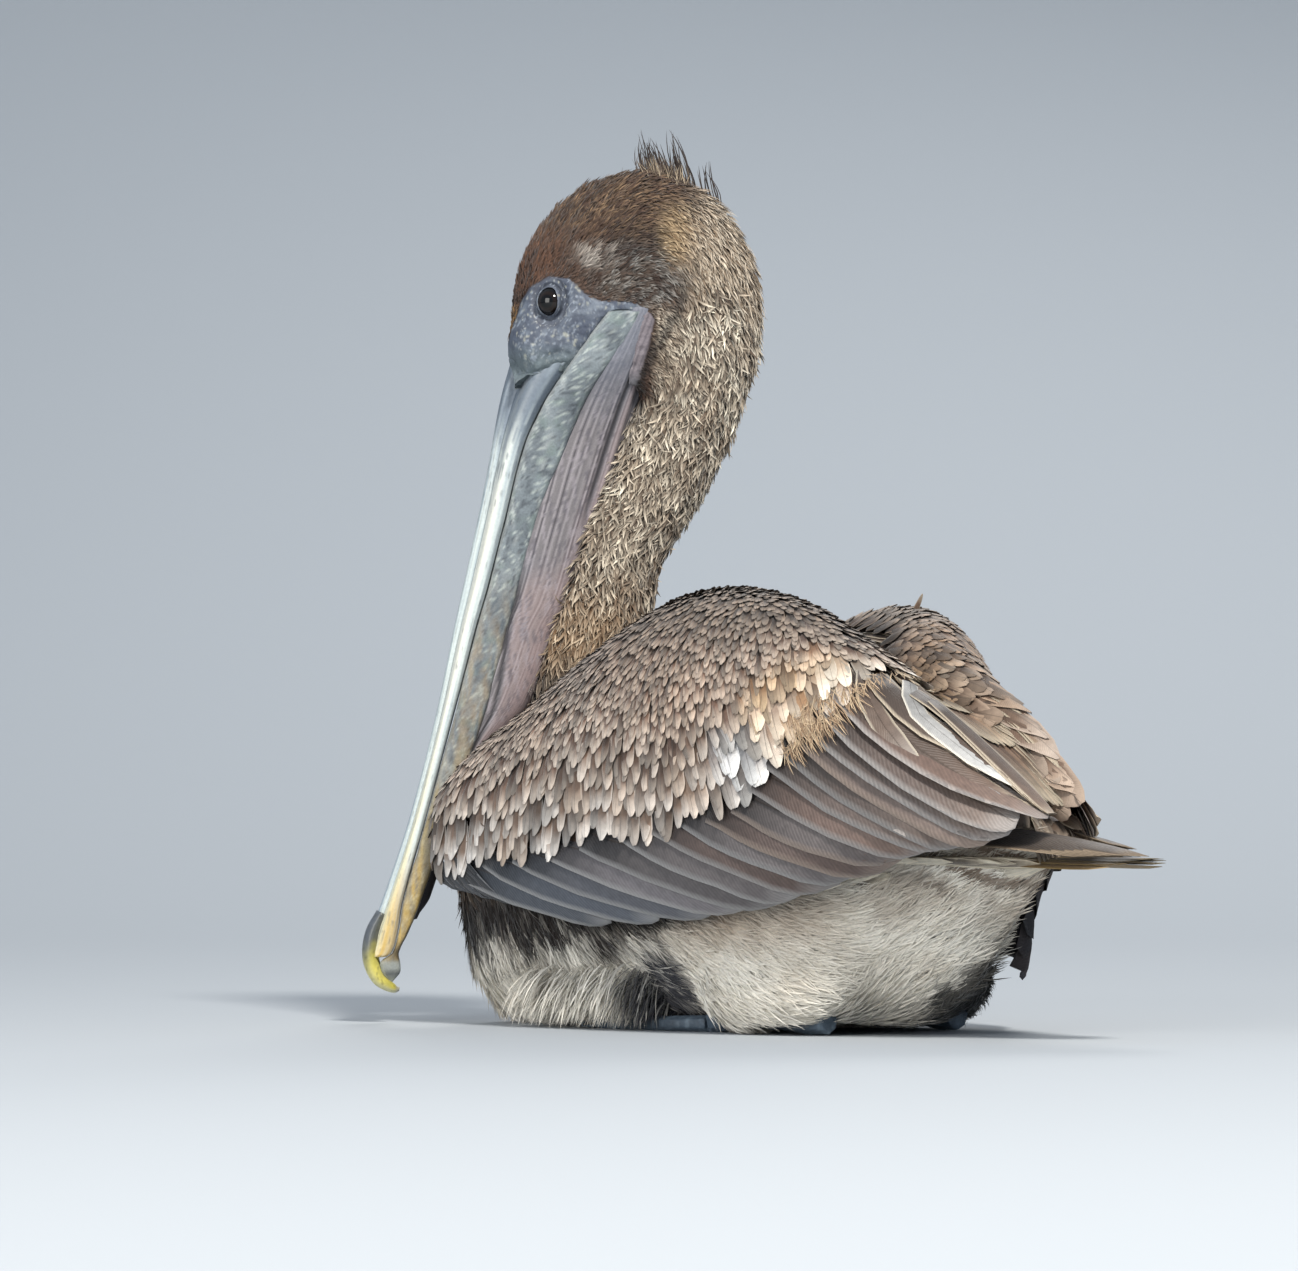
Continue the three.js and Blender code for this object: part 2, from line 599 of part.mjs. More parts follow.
function foot(side, g) {
  const ankle = vec(LEG.toes[0] - 3, side * LEG.toes[1], 0);
  const tipOf = ([length, turn], share) => {
    const angle = THREE.MathUtils.degToRad(turn);
    const reach = length * share;
    return vec(ankle.x - reach * Math.cos(angle), ankle.y - side * reach * Math.sin(angle), 0);
  };
  const toes = TOES.map((toe) => {
    const joints = TOE_LINE.map(([share, height]) => tipOf(toe, share).setZ(height));
    const line = new THREE.CatmullRomCurve3(joints);
    const half = (t) => lerp(4.2, 1.3, t ** 1.5) + g;
    const deep = (t) => lerp(4.6, 1.2, t ** 1.5) + g;
    return tube(line, UP, half, deep, 3, 6);
  });
  const outline = new THREE.Shape();
  const edge = [tipOf(TOES[0], 0.82)];
  for (let i = 1; i < TOES.length; i++) {
    const middle = tipOf(TOES[i - 1], 0.82).lerp(tipOf(TOES[i], 0.82), 0.5);
    edge.push(middle.lerp(ankle, 0.13), tipOf(TOES[i], 0.82));
  }
  outline.moveTo(ankle.x + 3, ankle.y);
  edge.forEach((p) => outline.lineTo(p.x, p.y));
  outline.closePath();
  const bevel = { bevelEnabled: g > 0, bevelSize: g, bevelThickness: g, bevelSegments: 1 };
  const web = new THREE.ExtrudeGeometry(outline, { depth: WEB_THICKNESS, ...bevel });
  return join([solid(web), ...toes]);
}

// The room that a foot and its leg take under the trunk: one flat outline round the toes.
const ROOM = { margin: 5, height: 9.5 };

function footRoom(side) {
  const ankle = vec(LEG.toes[0] - 3, side * LEG.toes[1], 0);
  const round = TOES.map(([length, turn]) => {
    const angle = THREE.MathUtils.degToRad(turn);
    const reach = length + ROOM.margin;
    return new THREE.Vector2(ankle.x - reach * Math.cos(angle), ankle.y - side * reach * Math.sin(angle));
  });
  round[0].y += side * ROOM.margin;
  round[3].y -= side * ROOM.margin;
  const behind = [-14, 12].map((aside) => new THREE.Vector2(ankle.x + 12, ankle.y + side * aside));
  const outline = new THREE.Shape([...round, ...behind]);
  const room = new THREE.ExtrudeGeometry(outline, { depth: ROOM.height + 5, bevelEnabled: false });
  return solid(room.translate(0, 0, -5));
}

// ---------- the pieces, cut to fit each other ----------
const SIDES = [["left", -1], ["right", 1]];
const C = CLEAR;

const trunkCut = wholeTrunk(C);
const headCut = wholeHead(C);
const neckCut = wholeNeck(C);
const billCut = upperBill(C).add(nail(C)).add(lowerBill(C));
const pouchCut = pouch(C);
const tailCut = tail(C);
const eyeCut = eyeball(1, C).add(eyeball(-1, C));
const scapularCut = scapulars(C);
const wingsCut = join(SIDES.map(([, side]) => covertMass(side, C)));
const footCut = join(SIDES.map(([, side]) => footRoom(side).add(tarsus(side, C))));

const pieces = {};
pieces.bill_upper = upperBill(0);
pieces.bill_nail = main(cut(nail(0), upperBill(C)));
pieces.bill_lower = main(cut(lowerBill(0), upperBill(C), nail(C)));
pieces.pouch = main(cut(pouch(0), upperBill(C), lowerBill(C)));
pieces.head = main(cut(wholeHead(0), billCut, pouchCut, eyeCut));
pieces.crest = main(cut(wholeCrest(), headCut));
const neck = main(cut(wholeNeck(0), headCut, pouchCut, billCut, trunkCut));
const partPoint = neckCurve.getPoint(NECK_PART_AT);
const partWay = neckCurve.getTangent(NECK_PART_AT);
const partAt = partPoint.dot(partWay);
pieces.neck_upper = main(neck.trimByPlane(partWay.toArray(), partAt + C / 2));
pieces.neck_lower = main(neck.trimByPlane(partWay.clone().negate().toArray(), C / 2 - partAt));
pieces.scapulars = main(cut(scapulars(0), trunkCut, wingsCut));
pieces.tail = main(cut(tail(0), trunkCut));
pieces.trunk = main(aboveFloor(cut(wholeTrunk(0), pouchCut, billCut, footCut)));

for (const [name, side] of SIDES) {
  const thighCut = thigh(side, C);
  const covertsCut = covertMass(side, C);
  const tertialsCut = tertials(side, C);
  const secondariesCut = secondaries(side, C);
  pieces["eye_" + name] = eyeball(-side, 0);
  pieces["foot_" + name] = main(aboveFloor(foot(side, 0)));
  pieces["tarsus_" + name] = main(aboveFloor(cut(tarsus(side, 0), foot(side, C))));
  pieces["thigh_" + name] = main(aboveFloor(cut(thigh(side, 0), trunkCut, footCut)));
  const otherWing = isRight(side) ? [covertMass(-1, C)] : [];
  const covertTools = [trunkCut, neckCut, pouchCut, billCut, thighCut, ...otherWing];
  const coverts = main(cut(covertMass(side, 0), ...covertTools));
  pieces["wing_" + name + "_coverts"] = coverts;
  pieces["wing_" + name + "_tertials"] = main(
    cut(tertials(side, 0), trunkCut, covertsCut, scapularCut, ...otherWing),
  );
  pieces["wing_" + name + "_secondaries"] = main(
    cut(secondaries(side, 0), trunkCut, covertsCut, tertialsCut, thighCut),
  );
  pieces["wing_" + name + "_primaries"] = main(
    cut(primaries(side, 0), trunkCut, covertsCut, tertialsCut, secondariesCut, tailCut, scapularCut),
  );
}

// ---------- materials and the group ----------
const finish = (color, roughness) => new THREE.MeshStandardMaterial({ color, roughness, metalness: 0 });
const feather = {
  head: finish(0x6b4c36, 0.9),
  neck: finish(0x8a6c4d, 0.95),
  belly: finish(0xb8b4a4, 0.95),
  coverts: finish(0x9c8066, 0.85),
  flight: finish(0x6f6a69, 0.75),
  dark: finish(0x3f3a34, 0.8),
};
const bare = {
  bill: finish(0x8f979a, 0.5),
  jaw: finish(0x77808a, 0.55),
  nail: finish(0xc9b94a, 0.35),
  pouch: finish(0x8a7f80, 0.75),
  leg: finish(0x4a525a, 0.7),
  eye: finish(0x120d0a, 0.05),
};
const LOOKS = [
  [/^bill_upper/, bare.bill],
  [/^bill_lower/, bare.jaw],
  [/^bill_nail/, bare.nail],
  [/^pouch/, bare.pouch],
  [/^eye/, bare.eye],
  [/^(foot|tarsus)/, bare.leg],
  [/^(head|crest)/, feather.head],
  [/^neck/, feather.neck],
  [/^(trunk|thigh)/, feather.belly],
  [/coverts$/, feather.coverts],
  [/(secondaries|tertials|scapulars)$/, feather.flight],
  [/(primaries|tail)$/, feather.dark],
];

function meshOf(name, body) {
  const { vertProperties, triVerts, numProp } = body.getMesh();
  const count = vertProperties.length / numProp;
  const points = new Float32Array(count * 3);
  for (let i = 0; i < count; i++)
    points.set(vertProperties.subarray(i * numProp, i * numProp + 3), i * 3);
  const geometry = new THREE.BufferGeometry();
  geometry.setAttribute("position", new THREE.BufferAttribute(points, 3));
  geometry.setIndex(new THREE.BufferAttribute(triVerts, 1));
  const mesh = new THREE.Mesh(geometry, LOOKS.find(([pattern]) => pattern.test(name))[1]);
  mesh.name = name;
  return mesh;
}

const pelican = new THREE.Group();
for (const [name, body] of Object.entries(pieces)) pelican.add(meshOf(name, body));

export default pelican;
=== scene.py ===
# A brown pelican at rest on its belly: skin, feathers, bill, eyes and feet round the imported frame.
# Shapes are worked out in mm, in the frame of the CAD part, and scaled to metres as meshes are made.
import math

import bmesh
import bpy
import numpy as np
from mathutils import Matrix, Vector
from mathutils.bvhtree import BVHTree


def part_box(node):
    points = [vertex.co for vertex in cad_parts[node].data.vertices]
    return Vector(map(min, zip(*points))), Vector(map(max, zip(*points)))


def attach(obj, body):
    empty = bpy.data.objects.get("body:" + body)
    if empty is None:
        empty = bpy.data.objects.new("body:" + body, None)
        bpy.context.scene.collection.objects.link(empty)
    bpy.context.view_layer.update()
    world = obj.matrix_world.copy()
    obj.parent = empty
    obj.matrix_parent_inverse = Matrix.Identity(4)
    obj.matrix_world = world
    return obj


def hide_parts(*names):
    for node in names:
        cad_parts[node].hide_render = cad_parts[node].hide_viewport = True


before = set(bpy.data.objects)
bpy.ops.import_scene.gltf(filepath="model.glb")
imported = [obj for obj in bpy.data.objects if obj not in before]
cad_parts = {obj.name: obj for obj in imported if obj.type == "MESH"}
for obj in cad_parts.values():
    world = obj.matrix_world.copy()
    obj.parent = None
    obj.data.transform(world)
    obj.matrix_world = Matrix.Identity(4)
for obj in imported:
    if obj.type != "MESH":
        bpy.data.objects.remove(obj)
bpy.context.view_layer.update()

MM = 0.001
SIDES = ("left", "right")
LOWEST = 0.3  # mm, the least height of a feather over the floor
UP = np.array([0.0, 0.0, 1.0])


# ---------- small tools ----------
def unit(v):
    return v / np.maximum(np.linalg.norm(v, axis=-1, keepdims=True), 1e-9)


def dot(a, b):
    return np.sum(a * b, axis=-1)


def mix(a, b, t):
    return a + (b - a) * t


def smooth(x, low, high):
    t = np.clip((np.asarray(x, float) - low) / (high - low), 0, 1)
    return t * t * (3 - 2 * t)


def bump(x, middle, half):
    """1 at the middle, falling smoothly to 0 at half on either side."""
    return 1 - smooth(np.abs(np.asarray(x, float) - middle), 0, half)


def spot(x, y, at, size):
    """1 at a point, falling smoothly to 0 on an ellipse round it."""
    return 1 - smooth(np.hypot((x - at[0]) / size[0], (y - at[1]) / size[1]), 0.35, 1)


def through(pairs):
    """A smooth curve through (place, value) pairs, held level past both ends."""
    x, y = np.array(pairs, float).T
    after = np.minimum(np.arange(len(x)) + 1, len(x) - 1)
    before = np.maximum(np.arange(len(x)) - 1, 0)
    slope = (y[after] - y[before]) / (x[after] - x[before])

    def at(place):
        p = np.clip(np.asarray(place, float), x[0], x[-1])
        i = np.clip(np.searchsorted(x, p, side="right") - 1, 0, len(x) - 2)
        step = x[i + 1] - x[i]
        t = (p - x[i]) / step
        rise = (3 * t**2 - 2 * t**3) * (y[i + 1] - y[i])
        return y[i] + rise + step * ((t**3 - 2 * t**2 + t) * slope[i] + (t**3 - t**2) * slope[i + 1])

    return at


def noise(p, size, seed=0):
    """Smooth noise from -1 to 1 at the points p, in blobs about size mm across."""
    q = p / size + 512.0
    cell = np.floor(q).astype(np.int64)
    f = q - cell
    f = f * f * (3 - 2 * f)
    total = np.zeros(len(p))
    for corner in range(8):
        offset = np.array([corner & 1, (corner >> 1) & 1, (corner >> 2) & 1])
        c = cell + offset
        mixed = (c[:, 0] * 73856093) ^ (c[:, 1] * 19349663) ^ (c[:, 2] * 83492791) ^ (seed * 7919 + 977)
        mixed = ((mixed ^ (mixed >> 13)) * 1274126177) & 0x7FFFFFFF
        value = ((mixed ^ (mixed >> 15)) & 0xFFFF) / 32767.5 - 1
        total += value * np.prod(np.where(offset == 1, f, 1 - f), axis=1)
    return total


def rgb(code):
    """A colour written as six hex digits, as linear red, green and blue."""
    s = np.array([int(code[i : i + 2], 16) for i in (0, 2, 4)]) / 255
    return np.where(s <= 0.04045, s / 12.92, ((s + 0.055) / 1.055) ** 2.4)


def blend_colours(base, *layers):
    """Lays colours, as arrays or six hex digits, over a base, each with its own cover from 0 to 1."""
    colours = [rgb(c) if isinstance(c, str) else c for c in (base, *(colour for colour, _ in layers))]
    covers = [np.clip(cover, 0, 1)[:, None] for _, cover in layers]
    out = np.array(np.broadcast_to(colours[0], (len(covers[0]), 3)), float)
    for colour, cover in zip(colours[1:], covers):
        out = mix(out, colour, cover)
    return out


# ---------- the head's turned frame ----------
HEAD_TURN = math.radians(48)
HEAD_AXIS = np.array([-125.6, -8.0, 0.0])
FORWARD = np.array([-math.cos(HEAD_TURN), -math.sin(HEAD_TURN), 0.0])
SIDE = np.array([math.sin(HEAD_TURN), -math.cos(HEAD_TURN), 0.0])
VIEW_RIGHT = (0.669, 0.743)  # towards the right of the photo, by X and Y


def in_head(forward, side, height):
    forward, side, height = np.broadcast_arrays(*(np.asarray(v, float) for v in (forward, side, height)))
    return HEAD_AXIS + forward[..., None] * FORWARD + side[..., None] * SIDE + height[..., None] * UP


def to_head(p):
    from_axis = p - HEAD_AXIS
    return from_axis @ FORWARD, from_axis @ SIDE, p[..., 2]


# ---------- meshes ----------
def make_piece(name, points, faces, tint, look, slot, stands_for=(), lay=None, fringe=None, uv=None):
    """A shown piece. faces is a list of arrays with 3 or 4 columns, and the rest hold a row by point."""
    mesh = bpy.data.meshes.new(name)
    corners = np.concatenate([f.ravel() for f in faces]).astype(np.int32)
    sizes = np.concatenate([np.full(len(f), f.shape[1]) for f in faces])
    mesh.vertices.add(len(points))
    mesh.vertices.foreach_set("co", (points * MM).astype(np.float32).ravel())
    mesh.loops.add(len(corners))
    mesh.loops.foreach_set("vertex_index", corners)
    mesh.polygons.add(len(sizes))
    mesh.polygons.foreach_set("loop_start", np.concatenate([[0], np.cumsum(sizes)[:-1]]).astype(np.int32))
    mesh.update(calc_edges=True)
    mesh.polygons.foreach_set("use_smooth", np.ones(len(sizes), bool))
    for key, values in (("tint", tint), ("fringe", fringe)):
        if values is not None:
            colour = np.ones((len(points), 4), np.float32)
            colour[:, :3] = np.clip(values, 0, 1)
            mesh.attributes.new(key, "FLOAT_COLOR", "POINT").data.foreach_set("color", colour.ravel())
    if lay is not None:
        kept = mesh.attributes.new("lay", "FLOAT_VECTOR", "POINT")
        kept.data.foreach_set("vector", lay.astype(np.float32).ravel())
    if uv is not None:
        layer = mesh.uv_layers.new(name="OFBake")
        layer.data.foreach_set("uv", uv[corners].astype(np.float32).ravel())
    piece = bpy.data.objects.new(name, mesh)
    bpy.context.scene.collection.objects.link(piece)
    mesh.materials.append(look)
    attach(piece, "root")
    if stands_for:
        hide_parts(*stands_for)
    return piece


def cad_mesh(node):
    """Points and triangles of a CAD node in mm, with the points that faces share made one."""
    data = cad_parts[node].data
    data.calc_loop_triangles()
    points = np.empty(len(data.vertices) * 3, np.float32)
    data.vertices.foreach_get("co", points)
    triangles = np.empty(len(data.loop_triangles) * 3, np.int32)
    data.loop_triangles.foreach_get("vertices", triangles)
    points, same = np.unique(np.round(points.reshape(-1, 3) / MM, 2), axis=0, return_inverse=True)
    return points, same.ravel()[triangles].reshape(-1, 3)


def vertex_normals(points, triangles):
    a, b, c = (points[triangles[:, i]] for i in range(3))
    face = np.cross(b - a, c - a)
    total = np.zeros_like(points)
    for i in range(3):
        for k in range(3):
            total[:, k] += np.bincount(triangles[:, i], face[:, k], len(points))
    return unit(total)


def relax(points, triangles, rounds, where=None, keep_size=True):
    """Laplacian smoothing; with keep_size each round is followed by one that swells the shape back."""
    edges = np.concatenate([triangles[:, [0, 1]], triangles[:, [1, 2]], triangles[:, [2, 0]]])
    count = np.maximum(np.bincount(edges.ravel(), minlength=len(points)), 1)[:, None]
    cover = 1.0 if where is None else where[:, None]
    for step in [0.5, -0.52] * rounds if keep_size else [0.5] * rounds:
        total = np.zeros_like(points)
        for k in range(3):
            total[:, k] = np.bincount(edges[:, 0], points[edges[:, 1], k], len(points))
            total[:, k] += np.bincount(edges[:, 1], points[edges[:, 0], k], len(points))
        points = points + cover * step * (total / count - points)
    return points


def remeshed(nodes, voxel, grow):
    """One closed surface round some CAD nodes, each swollen by grow mm first."""
    all_points, all_triangles, start = [], [], 0
    for node in nodes:
        points, triangles = cad_mesh(node)
        all_points.append(points + grow * vertex_normals(points, triangles))
        all_triangles.append(triangles + start)
        start += len(points)
    mesh = bpy.data.meshes.new("joined")
    mesh.from_pydata((np.concatenate(all_points) * MM).tolist(), [], np.concatenate(all_triangles).tolist())
    joined = bpy.data.objects.new("joined", mesh)
    bpy.context.scene.collection.objects.link(joined)
    modifier = joined.modifiers.new("voxels", "REMESH")
    modifier.mode = "VOXEL"
    modifier.voxel_size = voxel * MM
    made = bpy.data.meshes.new_from_object(joined.evaluated_get(bpy.context.evaluated_depsgraph_get()))
    bpy.data.objects.remove(joined)
    return made


def arrays_of(mesh):
    mesh.calc_loop_triangles()
    points = np.empty(len(mesh.vertices) * 3, np.float32)
    mesh.vertices.foreach_get("co", points)
    triangles = np.empty(len(mesh.loop_triangles) * 3, np.int32)
    mesh.loop_triangles.foreach_get("vertices", triangles)
    return points.reshape(-1, 3).astype(float) / MM, triangles.reshape(-1, 3)


def loft(rings, first, last):
    """Points and faces of a closed surface through rings (n, k, 3), with a point at each end."""
    n, k = rings.shape[:2]
    points = np.concatenate([rings.reshape(-1, 3), [first], [last]])
    i, j = np.meshgrid(np.arange(n - 1), np.arange(k), indexing="ij")
    a, b = i * k + j, i * k + (j + 1) % k
    quads = np.stack([a, b, b + k, a + k], -1).reshape(-1, 4)
    ring = np.arange(k)
    after = (ring + 1) % k
    cap_a = np.stack([after, ring, np.full(k, n * k)], -1)
    cap_b = np.stack([(n - 1) * k + ring, (n - 1) * k + after, np.full(k, n * k + 1)], -1)
    return points, [quads, np.concatenate([cap_a, cap_b])]


def triangles_of(faces):
    """The quads and end caps of a loft as triangles."""
    quads, caps = faces
    return np.concatenate([quads[:, :3], quads[:, [0, 2, 3]], caps])


def over_rings(values, rings, first, last):
    """A value for each point of a loft, from values by ring or round the rings and one for each end."""
    return np.concatenate([np.broadcast_to(values, rings.shape[:2]).ravel(), [first, last]])


def as_one(lofts):
    """Several lofts as one set of points and faces."""
    starts = np.cumsum([0] + [len(points) for points, _ in lofts])
    faces = [np.concatenate([own[k] + start for (_, own), start in zip(lofts, starts)]) for k in (0, 1)]
    return np.concatenate([points for points, _ in lofts]), faces


def tree_of(node):
    points, triangles = cad_mesh(node)
    return BVHTree.FromPolygons([Vector(p) for p in points], triangles.tolist())


def distance_inside(tree, points):
    """Signed distance to a CAD node's surface: below 0 inside it."""
    out = np.empty(len(points))
    for i, p in enumerate(points):
        v = Vector(p)
        place, normal, _, away = tree.find_nearest(v)
        out[i] = away if (v - place).dot(normal) >= 0 else -away
    return out


# ---------- materials ----------
def material(name, roughness=0.8, sheen=0.0, coat=0.0, grain=None, grain_depth=0.0, grain_tint=0.0,
             specular=0.35, vane=False):
    """Colour from the tint attribute, varied by noise, with bump; a vane has barbs, shaft and fringe."""
    made = bpy.data.materials.new(name)
    made.use_nodes = True
    nodes, link = made.node_tree.nodes, made.node_tree.links.new
    shader = nodes["Principled BSDF"]
    shader.inputs["Roughness"].default_value = roughness
    shader.inputs["Specular IOR Level"].default_value = specular
    shader.inputs["Sheen Weight"].default_value = sheen
    shader.inputs["Sheen Roughness"].default_value = 0.5
    shader.inputs["Coat Weight"].default_value = coat
    shader.inputs["Coat Roughness"].default_value = 0.06

    def node(kind, **settings):
        n = nodes.new("ShaderNode" + kind)
        for key, value in settings.items():
            setattr(n, key, value)
        return n

    def maths(operation, a, b=None, clamp=False):
        n = node("Math", operation=operation, use_clamp=clamp)
        for i, v in enumerate((a, b)):
            if isinstance(v, (int, float)):
                n.inputs[i].default_value = v
            elif v is not None:
                link(v, n.inputs[i])
        return n.outputs[0]

    def mixed(a, b, share):
        n = node("Mix", data_type="RGBA")
        for key, v in ((0, share), (6, a), (7, b)):
            if isinstance(v, tuple):
                n.inputs[key].default_value = v
            else:
                link(v, n.inputs[key])
        return n.outputs[2]

    colour = node("Attribute", attribute_name="tint").outputs["Color"]
    place = node("TexCoord").outputs["Object"]
    height = None

    def scaled(by):
        scale = node("VectorMath", operation="SCALE")
        link(colour, scale.inputs[0])
        link(by, scale.inputs["Scale"])
        return scale.outputs[0]

    if grain:
        texture = node("TexNoise")
        texture.inputs["Scale"].default_value = 1000 / grain
        texture.inputs["Detail"].default_value = 3
        link(place, texture.inputs["Vector"])
        height = texture.outputs["Fac"]
        if grain_tint:
            share = maths("MULTIPLY", maths("SUBTRACT", height, 0.5), 2 * grain_tint)
            colour = scaled(maths("ADD", share, 1.0))
    if vane:
        lay = node("Attribute", attribute_name="lay").outputs["Vector"]
        split = node("SeparateXYZ")
        link(lay, split.inputs[0])
        across, along, seed = split.outputs
        side = maths("ABSOLUTE", across)
        fringe = node("Attribute", attribute_name="fringe").outputs["Color"]
        tip = maths("MULTIPLY", maths("SUBTRACT", along, 0.86), 7.0, clamp=True)
        edge = maths("MULTIPLY", maths("SUBTRACT", side, 0.74), 4.5, clamp=True)
        cover = maths("MAXIMUM", tip, edge)
        colour = mixed(colour, fringe, maths("MULTIPLY", cover, 0.85))
        # barbs run out from the shaft towards the tip
        phase = maths("ADD", maths("MULTIPLY", along, 260.0), maths("MULTIPLY", side, -38.0))
        wobble = maths("MULTIPLY", height, 5.0) if height is not None else 0.0
        wave = maths("SINE", maths("ADD", maths("ADD", phase, wobble), maths("MULTIPLY", seed, 40.0)))
        colour = scaled(maths("ADD", maths("MULTIPLY", wave, 0.09), 1.0))
        shaft = maths("SUBTRACT", 1.0, maths("MULTIPLY", side, 16.0), clamp=True)
        colour = mixed(colour, (0.05, 0.035, 0.025, 1), maths("MULTIPLY", shaft, 0.55))
        height = maths("ADD", maths("MULTIPLY", wave, 0.25), maths("MULTIPLY", shaft, 1.2))
    link(colour, shader.inputs["Base Color"])
    if height is not None and grain_depth:
        b = node("Bump")
        b.inputs["Strength"].default_value = 1.0
        b.inputs["Distance"].default_value = grain_depth * MM
        link(height, b.inputs["Height"])
        link(b.outputs[0], shader.inputs["Normal"])
    return made


# ---------- the neck's line and the wings' surface, as the CAD part has them ----------
NECK_POINTS = np.array([
    [-112, 0, 114], [-128, 0, 146], [-138, -6, 176],
    in_head(1, -4, 204), in_head(-7, -3, 234), in_head(-26, -1, 266),
    in_head(-40, 0, 298), in_head(-48, 0, 330), in_head(-43, 0, 360),
])
NECK_END = len(NECK_POINTS) - 1
neck_at = [through([(i, p[k]) for i, p in enumerate(NECK_POINTS)]) for k in range(3)]
NECK_SHARES = np.linspace(0, NECK_END, 161)
NECK_LINE = np.stack([f(NECK_SHARES) for f in neck_at], -1)
NECK_WAY = unit(np.gradient(NECK_LINE, axis=0))


def along_neck(p):
    """The nearest place on the neck's line, from 0 at the trunk to 1 in the head, and the way up there."""
    gap = ((p[:, None, :] - NECK_LINE[None, ::4]) ** 2).sum(-1)
    nearest = gap.argmin(1) * 4
    return NECK_SHARES[nearest] / NECK_END, NECK_WAY[nearest]


# A folded wing by X: its top and foot, how far out its middle is, half its thickness, and the height at
# which its coverts end.
WING_TOP = through([[-177, 93], [-172, 113], [-160, 126], [-145, 138], [-112, 157], [-63, 185],
                    [-16, 206], [19, 211], [56, 205], [80, 194], [110, 177], [145, 152],
                    [175, 126], [200, 102]])
WING_LOW = through([[-177, 84], [-170, 72], [-160, 66], [-100, 58], [-23, 56], [43, 63], [95, 74],
                    [139, 90], [200, 94]])
WING_OUT = through([[-177, -74], [-160, -66], [-120, -58], [-60, -54], [0, -52], [70, -50],
                    [130, -42], [200, -24]])
WING_HALF = through([[-177, 3], [-168, 14], [-158, 22], [-120, 34], [-60, 44], [0, 48], [70, 46],
                     [130, 36], [170, 26], [200, 16]])
COVERT_LOW = through([[-177, 70], [-137, 77], [-112, 80.5], [-80, 84], [-57, 89], [-40, 94.5],
                      [-17, 95], [0, 93], [20, 95], [35, 102], [53, 107], [71, 111], [86, 123],
                      [96, 136], [111, 147], [119, 158], [123, 172]])
LAST_COVERT = 120  # behind this the left wing's coverts end on the side of the back
# the height of the back's ridge by X
BACK_LINE = through([[-192, 80], [-184, 110], [-160, 140], [-120, 164], [-60, 180], [0, 182],
                     [70, 166], [125, 141], [165, 114], [188, 93]])
PANEL = 5  # how square the lower half of a wing's section is
# how far the right wing differs from the left one
RIGHT_WING = {"droop": 38, "lower": 8, "set_back": 10, "tuck": 22, "lean": 19}


def wing_droop(side, x):
    if side < 0:
        return 0 * x
    return RIGHT_WING["droop"] * smooth(x, -120, 60) * (1 - 0.8 * smooth(x, 95, 160))


def wing_tuck(side, x):
    return 0 * x if side < 0 else RIGHT_WING["tuck"] * smooth(x, 55, 135)


def wing_section(side, x):
    right = side > 0
    back = RIGHT_WING["set_back"] * smooth(x, -140, -20) if right else 0 * x
    lower = RIGHT_WING["lower"] * smooth(x, -140, -20) if right else 0 * x
    lean = RIGHT_WING["lean"] * smooth(x, 10, 80) * (1 - smooth(x, 90, 160)) if right else 0 * x
    top = WING_TOP(x - back) - lower
    low = WING_LOW(x) - wing_droop(side, x)
    tuck = wing_tuck(side, x)
    return lean, WING_OUT(x) + tuck, (top + low) / 2, WING_HALF(x) - 0.7 * tuck, (top - low) / 2


